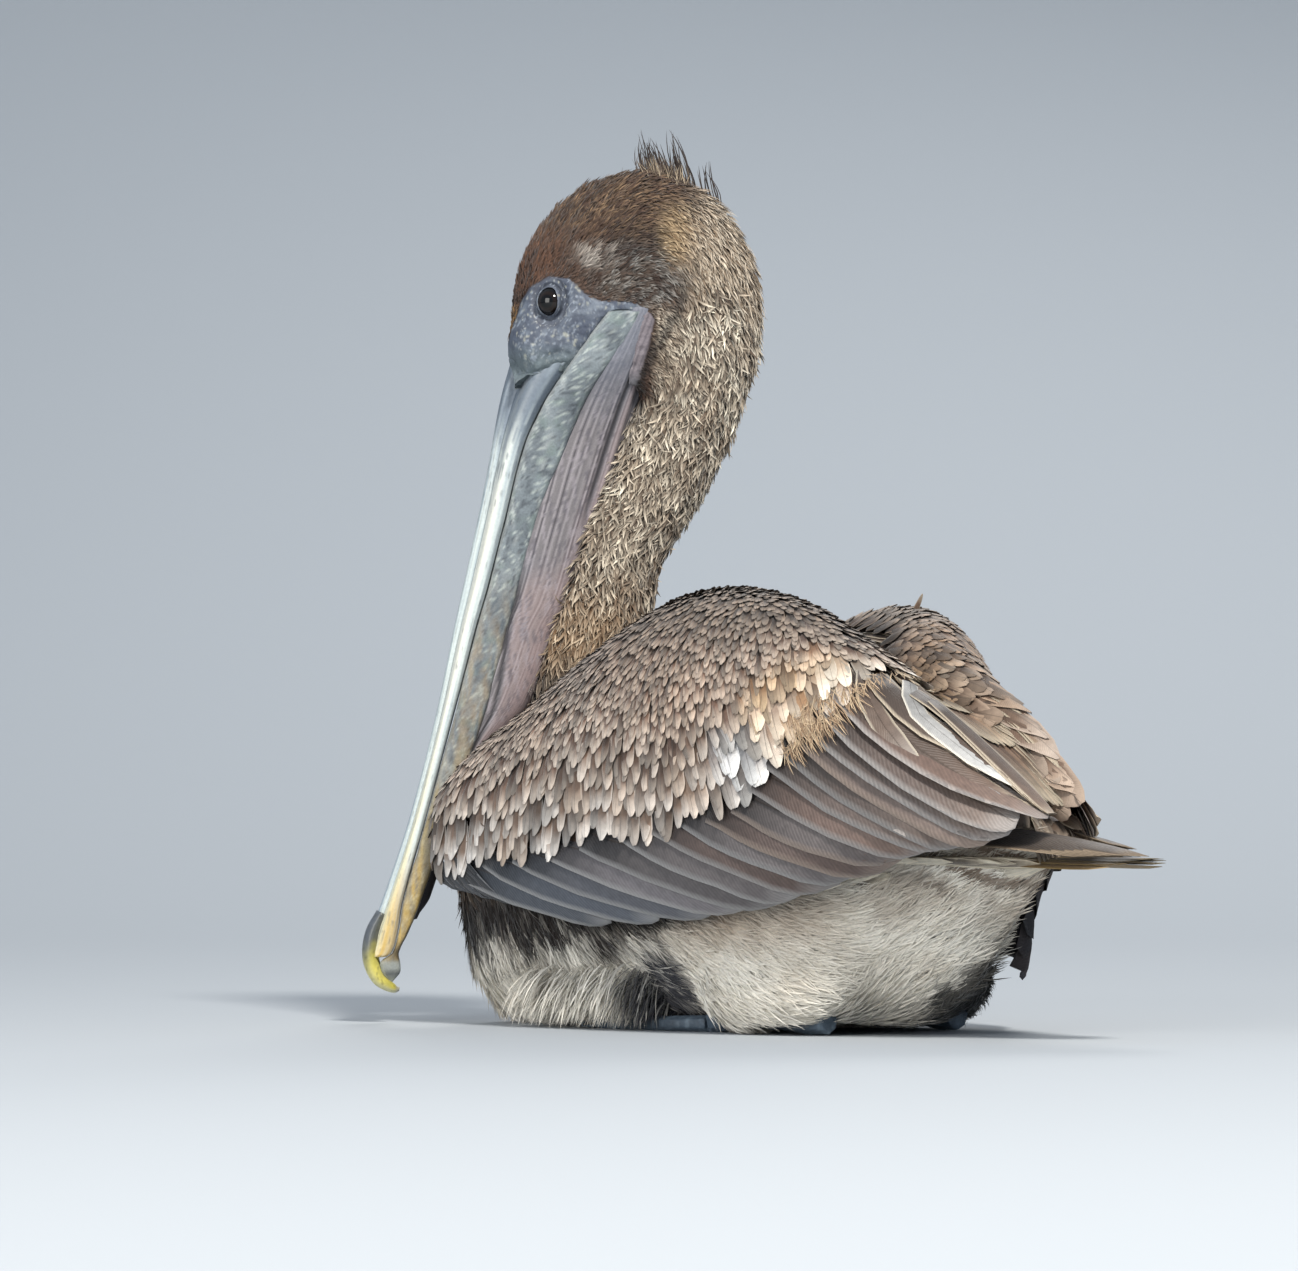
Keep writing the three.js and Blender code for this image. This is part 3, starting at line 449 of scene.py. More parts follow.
class Wing:
    """The outer surface of a folded wing by x and a, the distance in mm down from its upper ridge.

    a is above 0 on the outer face and under 0 on the side of the back. side is -1 left, +1 right.
    """

    STEP = 2.0
    X = np.arange(-176.0, 233.0, STEP)
    A = np.arange(-70.0, 176.0, STEP)

    def __init__(self, side):
        self.side = side
        turn = np.radians(np.linspace(262, 8, 220))
        power = np.where(np.sin(turn) < 0, 2 / PANEL, 1.0)
        across = np.sign(np.cos(turn)) * np.abs(np.cos(turn)) ** power
        rise = np.sign(np.sin(turn)) * np.abs(np.sin(turn)) ** power
        grid = []
        for x in self.X:
            lean, out, middle, width, height = wing_section(side, x)
            y = -side * (out + width * across + lean * (rise + 1) / 2)
            z = middle + height * rise
            far = np.concatenate([[0], np.cumsum(np.hypot(np.diff(y), np.diff(z)))])
            a = far[z.argmax()] - far
            grid.append(np.stack([np.full(len(self.A), x), np.interp(self.A, a[::-1], y[::-1]),
                                  np.interp(self.A, a[::-1], z[::-1])], -1))
        self.grid = np.array(grid)
        dx = np.gradient(self.grid, axis=0)
        da = np.gradient(self.grid, axis=1)
        normal = unit(np.cross(dx, da)) * side
        self.normal = np.where(np.isfinite(normal), normal, 0)

    def at(self, x, a, what=None):
        table = self.grid if what is None else what
        u = np.clip((x - self.X[0]) / self.STEP, 0, len(self.X) - 1.001)
        v = np.clip((a - self.A[0]) / self.STEP, 0, len(self.A) - 1.001)
        i, j = u.astype(int), v.astype(int)
        fu, fv = (u - i)[..., None], (v - j)[..., None]
        return ((table[i, j] * (1 - fu) + table[i + 1, j] * fu) * (1 - fv)
                + (table[i, j + 1] * (1 - fu) + table[i + 1, j + 1] * fu) * fv)

    def facing(self, x, a):
        return unit(self.at(x, a, self.normal))

    def down_to(self, x, z):
        """The distance a at which the outer face at x comes down to the height z."""
        out = np.empty(len(x))
        first = int(np.searchsorted(self.A, 0.0))
        for i, (xi, zi) in enumerate(zip(x, z)):
            k = int(np.clip(round((xi - self.X[0]) / self.STEP), 0, len(self.X) - 1))
            column = self.grid[k, first:, 2]
            below = np.nonzero(column < zi)[0]
            out[i] = self.A[first + (below[0] if len(below) else len(column) - 1)]
        return out

    def edge(self, x):
        """Where the coverts end, as a distance a."""
        xs = self.X[::2]
        if not hasattr(self, "edges"):
            past = smooth(xs, LAST_COVERT - 2, LAST_COVERT + 10) * (self.side < 0)
            down = self.down_to(xs, COVERT_LOW(xs) - wing_droop(self.side, xs))
            self.edges = through(list(zip(xs, mix(down, -60.0, past))))
        return self.edges(x)


wings = {"left": Wing(-1), "right": Wing(1)}

# ---------- skin ----------
FLESH = ["head", "neck_upper", "neck_lower", "trunk", "thigh_left", "thigh_right", "wing_left_coverts",
         "wing_right_coverts"]
GROW = 1.2  # mm that each part of the flesh is swollen by, so that they run together
VOXEL = 3.0
EYE = {"forward": 25.0, "side": 18.4, "height": 353.5, "radius": 8.0}
EYE_OPEN = (5.3, 7.0)  # half width and half height of the opening between the lids
COAT_DEPTH = {"head": 2.2, "neck": 4.5, "trunk": 5.5, "wing": 3.0}

# The bare skin of the face, as forward by height: an outline from the forehead over the eye to the gape.
BARE_EDGE = np.array([[60, 338], [48, 341], [42, 352], [36, 361], [27, 366], [17, 364.5], [9, 357],
                      [2, 353.5], [-5, 353.5], [-13, 353], [-21, 350], [-25, 345], [-22, 331],
                      [-12, 300], [60, 290]])


def outline_distance(x, y, outline):
    """Distance to a closed outline, below 0 inside it."""
    inside = np.zeros(len(x), bool)
    away = np.full(len(x), 1e9)
    for (x0, y0), (x1, y1) in zip(outline, np.roll(outline, -1, axis=0)):
        way = np.array([x1 - x0, y1 - y0])
        t = np.clip(((x - x0) * way[0] + (y - y0) * way[1]) / (way @ way), 0, 1)
        away = np.minimum(away, np.hypot(x - x0 - t * way[0], y - y0 - t * way[1]))
        crosses = (y0 > y) != (y1 > y)
        with np.errstate(divide="ignore", invalid="ignore"):
            inside ^= crosses & (x < (x1 - x0) * (y - y0) / (y1 - y0) + x0)
    return np.where(inside, -away, away)


def bare_face(p):
    """1 on the bare skin of the face, 0 where feathers grow."""
    forward, side, height = to_head(p)
    middle = smooth(np.abs(side), 3, 9)  # feathers run further down on the forehead's midline
    away = outline_distance(forward, height, BARE_EDGE) + (1 - middle) * 5
    return (1 - smooth(away, -0.8, 0.8)) * (forward > -32) * (height > 290)


def out_of_eye(sign):
    """The way out of the eye on one side of the head."""
    return unit(FORWARD * 0.36 + sign * SIDE * 0.93)


def eye_place(p):
    """Place across and up from the nearer eye's axis, how far out from its centre, and the way out."""
    sign = np.sign(to_head(p)[1])
    centre = in_head(EYE["forward"], sign * EYE["side"], EYE["height"])
    out = out_of_eye(sign[:, None])
    back = unit(np.cross(out, UP))
    from_centre = p - centre
    return dot(from_centre, back), from_centre[:, 2], dot(from_centre, out), out


def part_weights(points):
    """How much each point belongs to the head, neck, trunk and wings, by how near their CAD nodes are."""
    groups = {"head": ["head"], "neck": ["neck_upper", "neck_lower"],
              "trunk": ["trunk", "thigh_left", "thigh_right"],
              "wing_left": ["wing_left_coverts"], "wing_right": ["wing_right_coverts"]}
    near = []
    for nodes in groups.values():
        trees = [tree_of(node) for node in nodes]
        away = [min(tree.find_nearest(Vector(p))[3] for tree in trees) for p in points]
        near.append(np.exp(-np.array(away) / 3.5))
    near = np.array(near)
    return dict(zip(groups, near / near.sum(0)))


def make_skin_surface():
    mesh = remeshed(FLESH, VOXEL, GROW)
    work = bmesh.new()
    work.from_mesh(mesh)
    # finer faces on the face, and finer again round the eyes
    for reach, cuts in ((42, 2), (13, 2)):
        back = 0.4 * reach if reach > 20 else 0
        eyes = [in_head(EYE["forward"] - back, sign * 24, EYE["height"]) for sign in (-1, 1)]
        close = []
        for face in work.faces:
            p = np.array(face.calc_center_median()) / MM
            if p[2] > 300 and p[2] < 378 and min(np.linalg.norm(p - eye) for eye in eyes) < reach:
                close.append(face)
        edges = list({e for f in close for e in f.edges})
        bmesh.ops.subdivide_edges(work, edges=edges, cuts=cuts, use_grid_fill=True)
    bmesh.ops.triangulate(work, faces=work.faces[:])
    work.to_mesh(mesh)
    work.free()
    return mesh


skin_mesh = make_skin_surface()
skin_points, skin_triangles = arrays_of(skin_mesh)
skin_points = relax(skin_points, skin_triangles, 9)
weights = part_weights(skin_points)
skin_normals = vertex_normals(skin_points, skin_triangles)
bare = bare_face(skin_points)
tree_of_pouch = tree_of("pouch")
depth = sum(weights[k] * COAT_DEPTH[k.split("_")[0]] for k in weights) * (1 - bare)
from_pouch = np.array([tree_of_pouch.find_nearest(Vector(p))[3] for p in skin_points])
depth *= mix(0.15, 1.0, smooth(from_pouch, 3, 14))  # no gap behind the pouch
skin_points = skin_points - skin_normals * (GROW + depth)[:, None]
skin_points = relax(skin_points, skin_triangles, 4, keep_size=False)
skin_points[:, 2] = np.maximum(skin_points[:, 2], 0.8)


def shape_face(points):
    """Lids round the eyes and folds in the bare skin."""
    across, up, out_from, out = eye_place(points)
    forward, _, height = to_head(points)
    around = np.hypot(across / EYE_OPEN[0], up / EYE_OPEN[1])
    far = np.hypot(across, up)
    # nearness in mm to the edge of the opening, above 0 outside it
    rim = (around - 1) * np.sqrt(EYE_OPEN[0] * EYE_OPEN[1])
    on_face = (far < 17) & (out_from > -6) & (height > 330)
    ball = np.sqrt(np.maximum(EYE["radius"] ** 2 - far**2, 4.0))
    lid = np.where(rim < 0, ball - 2.2 * smooth(-rim, 0, 0.7), ball + 0.75)
    skirt = smooth(rim, 1.2, 7.5)
    wanted = mix(lid, out_from, skirt)
    broken = 0.6 + 0.5 * noise(points, 4, 7)
    wanted += 0.4 * np.exp(-((rim - 0.4) / 0.35) ** 2) * (rim > -0.4)
    wanted -= broken * 0.35 * np.exp(-((rim - 1.5) / 0.45) ** 2)
    wanted += broken * 0.35 * np.exp(-((rim - 2.6) / 0.6) ** 2)
    wanted -= broken * 0.3 * np.exp(-((rim - 4.2) / 0.6) ** 2)
    shift = np.where(on_face, wanted - out_from, 0)
    points = points + out * shift[:, None]
    wrinkles = noise(points * [1, 1, 2.2], 3.2, 4) * 0.28 + noise(points, 1.3, 5) * 0.14
    folds = np.sin(0.95 * height + 0.35 * forward + 1.5 * noise(points, 9, 6)) * 0.22
    folds = folds * smooth(-height, -338, -326)
    away = smooth(rim, 3, 6)
    # the skin thins out over the root of the bill
    bill_root = mix(301, 315, smooth(forward, 26, 47)) + 2.0 * noise(points, 3, 8)
    thin = mix(6.5, 8.5, smooth(forward, 38, 50)) * (1 - smooth(height - bill_root, -3, 21))
    thin = thin * smooth(forward, -14, 4)
    rise = ((wrinkles + folds) * away - thin) * bare
    points = points + vertex_normals(points, skin_triangles) * rise[:, None]
    # in front it runs down into the line of the bill's ridge
    forward, _, height = to_head(points)
    front = mix(43.5, 51.5, smooth(height, 313, 341)) + 0.3 * noise(points, 2.5, 9)
    past = np.maximum(forward - front, 0) * (weights["head"] > 0.4) * (height < 345)
    return points - FORWARD * past[:, None]


def melt_thighs(points):
    """Thigh and belly run into each other in one smooth curve."""
    x, y, z = points.T
    around = smooth(x, 20, 50) * (1 - smooth(x, 120, 145)) * (1 - smooth(z, 52, 72))
    around = around * smooth(np.abs(y), 8, 22)
    around *= smooth(z, 3, 10) * (weights["trunk"] > 0.5)
    return relax(points, skin_triangles, 90, where=around, keep_size=False)


skin_points = melt_thighs(shape_face(skin_points))
skin_normals = vertex_normals(skin_points, skin_triangles)


def lie_of_coat(p, n, w):
    """The way that feathers lie, as a unit vector along the skin at each point."""
    forward, side, height = to_head(p)
    from_bill = unit(np.stack([forward - 38, side * 0.9, height - 330], -1))
    head_way = from_bill[:, :1] * FORWARD + from_bill[:, 1:2] * SIDE + from_bill[:, 2:] * UP
    behind = smooth(-forward, -5, 62)[:, None]
    head_way = head_way * (1 - 0.75 * behind) - UP * behind * 1.3 - FORWARD * 0.25
    _, neck_up = along_neck(p)
    neck_way = -neck_up - 0.12 * FORWARD
    x = p[:, 0]
    hang = (1 - smooth(x, -150, 10))[:, None]
    low = smooth(x, 40, 110)[:, None]
    trunk_way = np.array([1.0, 0, -0.5]) * (1 - hang) + np.array([0.25, 0, -1.0]) * hang + UP * 0.75 * low
    top = smooth(n[:, 2], 0.2, 0.8)[:, None]
    trunk_way = mix(trunk_way, np.array([1.0, 0, 0]), top)
    back_lean = smooth(x, -30, 100)[:, None]
    wing_way = mix(np.array([0.1, 0, -1.0]), np.array([1.0, 0, -0.9]), back_lean)
    wing_way = mix(wing_way, np.array([1.0, 0, -0.3]), top)
    on_wings = w["wing_left"] + w["wing_right"]
    way = (w["head"][:, None] * unit(head_way) + w["neck"][:, None] * unit(neck_way)
           + w["trunk"][:, None] * unit(trunk_way) + on_wings[:, None] * unit(wing_way))
    return unit(way - n * dot(way, n)[:, None])


skin_flow = lie_of_coat(skin_points, skin_normals, weights)


# ---------- markings, shared by the skin and the coat ----------
CHESTNUT, DARK_BROWN, RUSSET = rgb("614839"), rgb("3a2c26"), rgb("75503a")
OCHRE, BUFF, CREAM = rgb("a27c4a"), rgb("a88c6c"), rgb("e9dcc2")
TAWNY, MOUSE, SOOT = rgb("96785a"), rgb("7a695b"), rgb("2b2523")
DIRTY_WHITE, SHADE_GREY = rgb("f1ece0"), rgb("a9a69c")
SLATE, PALE_SLATE, FLECK = rgb("4d5563"), rgb("7c848e"), rgb("b9bbb6")
SILVER, GREY_VANE, BLUE_GREY = rgb("b4b6b8"), rgb("5c5757"), rgb("4d5560")


def grizzle(p, size, seed, sharp=3.0):
    """Noise from 0 to 1 in patches of about size mm."""
    return np.clip(0.5 + 0.5 * sharp * noise(p, size, seed), 0, 1)


def crease_shade(forward, height):
    """Painted shade: the dark line in the crease from the ear down behind the pouch."""
    at = mix(-37, -14, smooth(height, 366, 300))
    line = np.exp(-(((forward - at) / 2.4) ** 2))
    return line * smooth(height, 292, 306) * (1 - smooth(height, 362, 372))


def neck_colours(p):
    """Root and tip colours of the neck's feathers."""
    forward, _, height = to_head(p)
    low = 1 - smooth(height, 190, 238)
    front = smooth(forward, -30, 4)
    base = 1 - smooth(height, 168, 192)
    # the crease's darkness on roots and tips is painted shade
    root = blend_colours("4e3a2b", ("7d5a36", 0.7 * low * front), (SOOT, 0.8 * base),
                         (SOOT, 0.85 * crease_shade(forward, height)))
    tip = blend_colours("fff4de", (TAWNY, grizzle(p, 6, 8, 1.6) * 0.5), (OCHRE, 0.5 * low * front),
                        ("77726a", 0.7 * base), (SOOT, 0.7 * crease_shade(forward, height)))
    return root * 0.62, tip


def head_colours(p):
    """Root and tip colours of the head's feathers."""
    forward, side, height = to_head(p)
    crown = smooth(height, 372, 398) * (1 - smooth(-forward, 20, 44))
    nape = smooth(-forward, 30, 52)
    ear = spot(forward, height, (-17, 364), (36, 22))
    # the neck's own feathers, behind the gape
    below = smooth(-forward, 20, 27) * (1 - smooth(height, 342, 356))
    mid = blend_colours(
        CHESTNUT, (DARK_BROWN, 0.45 * crown),
        (RUSSET, 0.6 * spot(forward, height, (38, 372), (22, 22))),
        (DARK_BROWN, 0.7 * ear), (MOUSE, 0.6 * ear * grizzle(p, 5, 9, 1.5)),
        (DARK_BROWN, 0.8 * spot(forward, height, (-16, 382), (26, 13))),
        (BUFF, 0.7 * nape),
        ("a8865c", 0.6 * spot(forward, height, (-33, 388), (12, 20))),
        (OCHRE, 0.95 * spot(forward, height, (46, 343), (9, 10)) * (np.abs(side) < 16)),
        ("c4bbb0", 0.8 * spot(forward, height, (6, 374), (16, 9)) * grizzle(p, 3.0, 2, 2.0)),
        # painted shade in the crease behind the gape
        (SOOT, 0.85 * crease_shade(forward, height)),
    )
    tip = blend_colours(
        mid * 1.05,
        (BUFF, 0.6 * crown * grizzle(p, 1.5, 3)),
        (FLECK, 0.6 * ear * grizzle(p, 2.2, 4, 2.5) * (1 - crease_shade(forward, height))),
        ("d9c6a2", 0.45 * spot(forward, height, (-34, 388), (16, 22))),
        ("e6dac6", 0.85 * nape),
    )
    neck_root, neck_tip = neck_colours(p)
    below = below[:, None]
    return mix(mid * 0.42, neck_root, below), mix(tip, neck_tip, below)


def trunk_colours(p):
    """Root and tip colours of the feathers of breast, belly, flanks and vent."""
    x, y, z = p.T
    edge = 43 + 6 * noise(p, 11, 15) + 10 * noise(p * [1, 1, 0.4], 2.5, 16) + 12 * smooth(x, -70, -10)
    # dark feathers below the wing's edge, deepened by painted shade under the wing
    under_wing_shade = smooth(z - edge, -12, 12) * (1 - smooth(x, -20, 28)) * (1 - smooth(z, 74, 88))
    ragged = grizzle(p, 4, 12, 1.2)
    tan = (smooth(z, 36, 60) * bump(x, 25, 75)) * 0.7
    mottle = grizzle(p, 7, 13, 1.6) * smooth(z, 34, 64) * 0.5
    # dark down over the tucked near leg, deepened by painted shade in the gap there
    leg_down_shade = spot(x, z, (-27, 24), (22, 30)) * (y < 0)
    # painted shadow low on the belly by the near foot
    foot_shadow = spot(x, z, (-58, 4), (34, 13)) * (y < 0)
    tail_end = smooth(x, 95, 135)
    wave = 0.5 + 0.5 * np.sin(0.42 * z + 0.14 * x + 2.2 * noise(p, 22, 14))
    bars = tail_end * smooth(z, 52, 76) * smooth(wave, 0.45, 0.8)
    # painted shade in the recess under the tail
    vent_shade = smooth(x, 108, 150) * (1 - smooth(z, 40, 62))
    back = smooth(z, 120, 150)
    breast = smooth(z + 4 * noise(p, 7, 18), 62, 80) * (1 - smooth(x, -60, 0))
    # painted shade low on the rear, darker the further right it lies in the view
    sideways = VIEW_RIGHT[0] * x + VIEW_RIGHT[1] * y - 1.25 * (z - 10) + 7 * noise(p, 7, 17)
    far_rear_shade = smooth(sideways, 44, 62) * smooth(x, 40, 70) * (1 - smooth(z + 6 * noise(p, 6, 20), 36, 62))
    mid = blend_colours(
        DIRTY_WHITE, ("b09f86", 0.3 * grizzle(p, 15, 27, 1.4)),
        ("a8927a", tan), ("8b7561", mottle), ("6e5a48", 0.85 * bars),
        # painted shade: the belly greyer towards the floor
        (SHADE_GREY, 0.35 * (1 - smooth(z, 2, 18))), ("5a5852", 0.5 * vent_shade),
        ("1f1814", np.clip(under_wing_shade * (0.85 + 0.5 * ragged), 0, 1)),
        ("2e2e33", np.clip(leg_down_shade * (0.5 + ragged), 0, 1)), ("26262a", np.clip(1.3 * foot_shadow, 0, 1)),
        ("1d1b17", 0.95 * far_rear_shade),
        ("5d4a3a", 0.92 * breast), ("9b8468", 0.5 * breast * grizzle(p, 4, 19, 1.5)), (MOUSE, back),
    )
    return mid * 0.85, mid * 1.08


def wing_colours(p, above_edge):
    """above_edge is how far above the coverts' edge a place is, in mm down the wing."""
    x, _, z = p.T
    tan = blend_colours("64493b", ("876a57", 0.7 * grizzle(p, 20, 21, 1.6)))
    low = 1 - smooth(above_edge, 6, 34)
    warm = grizzle(p, 26, 25, 1.6)
    ridge = smooth(z, 172, 196) * smooth(x, -60, -10)
    silver = spot(x, above_edge, (76, 14), (30, 24))
    elbow = spot(x, z, (94, 150), (34, 34)) * (0.4 + 0.6 * grizzle(p, 10, 23, 1.2))
    # a small painted highlight in the golden patch over the elbow
    elbow_highlight = spot(x, z, (109, 167), (12, 11)) * grizzle(p, 5, 24, 1.5)
    mid = blend_colours(
        tan,
        ("574134", 0.75 * smooth(above_edge, 45, 90)), ("3c2d24", 0.8 * ridge),
        ("9b8672", 0.4 * low), (SILVER, 0.75 * silver * (x < 100)),
        ("ae8356", 0.8 * elbow), ("d9cbb5", 0.8 * elbow_highlight),
    )
    tip = blend_colours(
        mix(mid, rgb("e2d8ca"), (0.6 - 0.34 * smooth(above_edge, 34, 104))[:, None]),
        ("bf9f82", 0.35 * warm * (1 - ridge)),
        ("e0dcd6", 0.85 * low * grizzle(p, 13, 22, 1.8)), ("e2e2e0", 0.85 * silver),
        ("d9b98a", 0.8 * elbow), ("efe9dc", 0.9 * elbow_highlight),
        ("a08a76", 0.5 * ridge),
    )
    return mid, tip


def skin_colours(p, w):
    """The skin under the coat: the coat's own colours, darker, and slate on the bare face."""
    head, neck, trunk = head_colours(p)[0], neck_colours(p)[0], trunk_colours(p)[0]
    wing = wing_colours(p, np.full(len(p), 40.0))[0] * 0.5
    own = (w["head"][:, None] * head + w["neck"][:, None] * neck * 0.8 + w["trunk"][:, None] * trunk
           + (w["wing_left"] + w["wing_right"])[:, None] * wing) * 0.7
    across, up, _, _ = eye_place(p)
    forward, _, height = to_head(p)
    rim = (np.hypot(across / EYE_OPEN[0], up / EYE_OPEN[1]) - 1) * 6.4
    lobe_height = (1 - smooth(height, 346, 352))
    lobe = smooth(-forward - 0.35 * (height - 340), 11, 14) * lobe_height
    flecked = mix(0.35, 1.0, np.maximum(spot(forward, height, (36, 343), (16, 22)), 1 - smooth(rim, 3, 8)))
    scratch = noise(p @ [[1, 0, 0.8], [0, 1, 0], [-0.8, 0, 1]] * [1, 1, 0.2], 1.0, 35)
    face = blend_colours(
        SLATE,
        (PALE_SLATE, 0.7 * grizzle(p, 6, 31, 1.4)),
        ("3c4150", 0.6 * grizzle(p, 2.4, 32, 2.0)),
        ("6c7a78", 0.5 * (1 - smooth(height, 322, 336))),
        ("23252d", 0.6 * np.exp(-((rim - 1.7) / 0.8) ** 2)),
        ("4a4c54", 0.6 * np.exp(-((rim - 4.5) / 1.6) ** 2)),
        (FLECK, 0.6 * smooth(noise(p * [1, 1, 0.7], 0.8, 33), 0.42, 0.7) * smooth(rim, 2, 4) * flecked),
        ("9aa3ae", 0.5 * smooth(scratch, 0.4, 0.7)),
        ("b9b8a6", 0.5 * smooth(noise(p, 2.2, 34), 0.62, 0.8)),
        ("7b7276", 0.9 * lobe),
        # painted shade in the crease along the lobe's edge
        ("2b2b31", 0.8 * bump(forward + 0.35 * (height - 340), -12.5, 2) * lobe_height),
        ("4b474d", 0.6 * lobe * smooth(np.sin(2.4 * forward + 0.9 * height + noise(p, 8, 36)), 0, 0.8)),
        ("7d868a", 0.6 * (1 - smooth(height, 305, 322))),
        ("6d727c", 0.5 * np.exp(-((rim - 0.5) / 0.35) ** 2)),
        ("15130f", smooth(-rim, 0, 0.25)),
    )
    cover = bare_face(p)[:, None]
    return own * (1 - cover) + face * cover


skin_tint = skin_colours(skin_points, weights)


# ---------- the skin as a piece, and its unwrap ----------
skin_look = material("skin", roughness=0.62, grain=1.1, grain_depth=0.25, grain_tint=0.28)
skin_piece = make_piece("skin", skin_points, [skin_triangles], skin_tint, skin_look, "body_plumage", FLESH)


def unwrap(piece):
    bpy.ops.object.select_all(action="DESELECT")
    bpy.context.view_layer.objects.active = piece
    piece.select_set(True)
    piece.data.uv_layers.new(name="OFBake")
    bpy.ops.object.mode_set(mode="EDIT")
    bpy.ops.mesh.select_all(action="SELECT")
    bpy.ops.uv.smart_project(angle_limit=math.radians(66), island_margin=0.001)
    bpy.ops.object.mode_set(mode="OBJECT")
    uv = np.empty(len(piece.data.loops) * 2, np.float32)
    piece.data.uv_layers["OFBake"].data.foreach_get("uv", uv)
    return uv.reshape(-1, 3, 2)


skin_uv = unwrap(skin_piece)


# ---------- feathers as meshes ----------
def scatter(cover, spacing, seed):
    """Places about spacing mm apart where cover, by skin point, is above a half.

    Each has a point, a normal, the lie of the feathers and a place on the skin's unwrap.
    """
    own = np.random.default_rng(seed)
    a, b, c = (skin_points[skin_triangles[:, i]] for i in range(3))
    area = 0.5 * np.linalg.norm(np.cross(b - a, c - a), axis=1) * (cover[skin_triangles].mean(1) > 0.5)
    tries = int(area.sum() / spacing**2 * 2.6)
    face = np.searchsorted(np.cumsum(area), own.random(tries) * area.sum())
    face = np.minimum(face, len(area) - 1)
    share = own.random((tries, 2))
    flip = share.sum(1) > 1
    share[flip] = 1 - share[flip]
    corner = np.stack([1 - share.sum(1), share[:, 0], share[:, 1]], -1)
    tri = skin_triangles[face]

    def at(values):
        return (values[tri] * corner[..., None]).sum(1)

    points = at(skin_points)
    _, keep = np.unique(np.floor(points / (0.93 * spacing)).astype(np.int64), axis=0, return_index=True)
    keep = keep[np.argsort(own.random(len(keep)))]
    tri, corner, face = tri[keep], corner[keep], face[keep]
    return {
        "p": at(skin_points), "n": unit(at(skin_normals)), "flow": unit(at(skin_flow)),
        "uv": (skin_uv[face] * corner[..., None]).sum(1),
    }


PATCH = 0.003  # how wide each feather's patch of the bake map is


def blades(name, roots, length, width, root_tint, tip_tint, slot, look, lift=0.35, curl=0.25, settle=0.75,
           segments=3, per_root=1, spread=0.35, seed=1, pale=0.25, vary=0.0, uneven=0.28,
           shape=(0.75, 1.0, 0.8, 0.55, 0.4), late=1.3):
    """Thin pointed blades that grow from the roots, rise by lift, settle back and curl sideways.

    With vary above 0 some of them stay as dark as their roots.
    """
    own = np.random.default_rng(seed)
    index = np.repeat(np.arange(len(roots["p"])), per_root)
    count = len(index)
    p, n, flow, uv = (roots[k][index] for k in ("p", "n", "flow", "uv"))
    length = np.broadcast_to(length, len(roots["p"]))[index] * own.uniform(0.72, 1.2, count)
    width = np.broadcast_to(width, len(roots["p"]))[index] * own.uniform(0.7, 1.25, count)
    lift = np.broadcast_to(lift, len(roots["p"]))[index] * own.uniform(0.5, 1.6, count)
    across = np.cross(n, flow)
    turn = own.normal(0, spread, count)[:, None]
    way = unit(flow * np.cos(turn) + across * np.sin(turn))
    across = np.cross(n, way)
    bend = own.normal(0, curl, count)[:, None]
    roll = own.normal(0, 0.5, count)[:, None]
    wide = unit(across * np.cos(roll) + n * np.sin(roll))
    if per_root > 1:
        p = p + across * own.normal(0, 0.45, (count, 1)) + way * own.normal(0, 0.6, (count, 1))
    t = np.linspace(0, 1, segments + 1)[:, None, None]
    line = (p + way * length[:, None] * t
            + n * (length * np.sin(lift))[:, None] * (t - settle * t**2)
            + across * bend * length[:, None] * t**2)
    half = np.array(shape)[:segments]
    left = line[:-1] - wide * width[:, None] * half[:, None, None] / 2
    right = line[:-1] + wide * width[:, None] * half[:, None, None] / 2
    points = np.concatenate([np.stack([left, right], 1).reshape(2 * segments, count, 3), line[-1:]])
    points = points.transpose(1, 0, 2)
    points[..., 2] = np.maximum(points[..., 2], LOWEST)
    per = 2 * segments + 1
    base = (np.arange(count) * per)[:, None]
    steps = 2 * np.arange(segments - 1)
    quads = np.concatenate([base + k + np.array([0, 1, 3, 2]) for k in steps])
    tips = base + np.array([2 * segments - 2, 2 * segments - 1, 2 * segments])
    share = np.concatenate([np.repeat(np.arange(segments) / segments, 2), [1.0]])
    side = np.concatenate([np.tile([-1.0, 1.0], segments), [0.0]])
    level = own.uniform(1 - uneven, 1 + uneven, (count, 1, 1))
    light = (own.random((count, 1, 1)) < pale) * 0.35
    mixed = np.clip(share**late, 0, 1)[None, :, None]
    tip = mix(tip_tint[index], 1.2 * root_tint[index], vary * own.random((count, 1)) ** 1.5)
    tint = mix(root_tint[index][:, None], tip[:, None], np.clip(mixed + light * mixed, 0, 1)) * level
    lay = np.stack(np.broadcast_arrays(side[None], share[None], own.random((count, 1))), -1)
    own_uv = uv[:, None] + PATCH * np.stack([0.45 * side, share - 0.5], -1)
    make_piece(name, points.reshape(-1, 3), [quads, tips], tint.reshape(-1, 3), look, slot,
               lay=lay.reshape(-1, 3), uv=own_uv.reshape(-1, 2))


def vane_outline(t, point=0.55, root=0.45):
    """Share of a feather's half width at the share t along it; point is how far the tip's round goes."""
    rise = root + (1 - root) * np.sin(0.5 * np.pi * np.clip(t / 0.45, 0, 1))
    tip = np.sqrt(np.maximum(1 - (np.clip((t - (1 - point)) / point, 0, 1)) ** 2.3, 0))
    return rise * tip


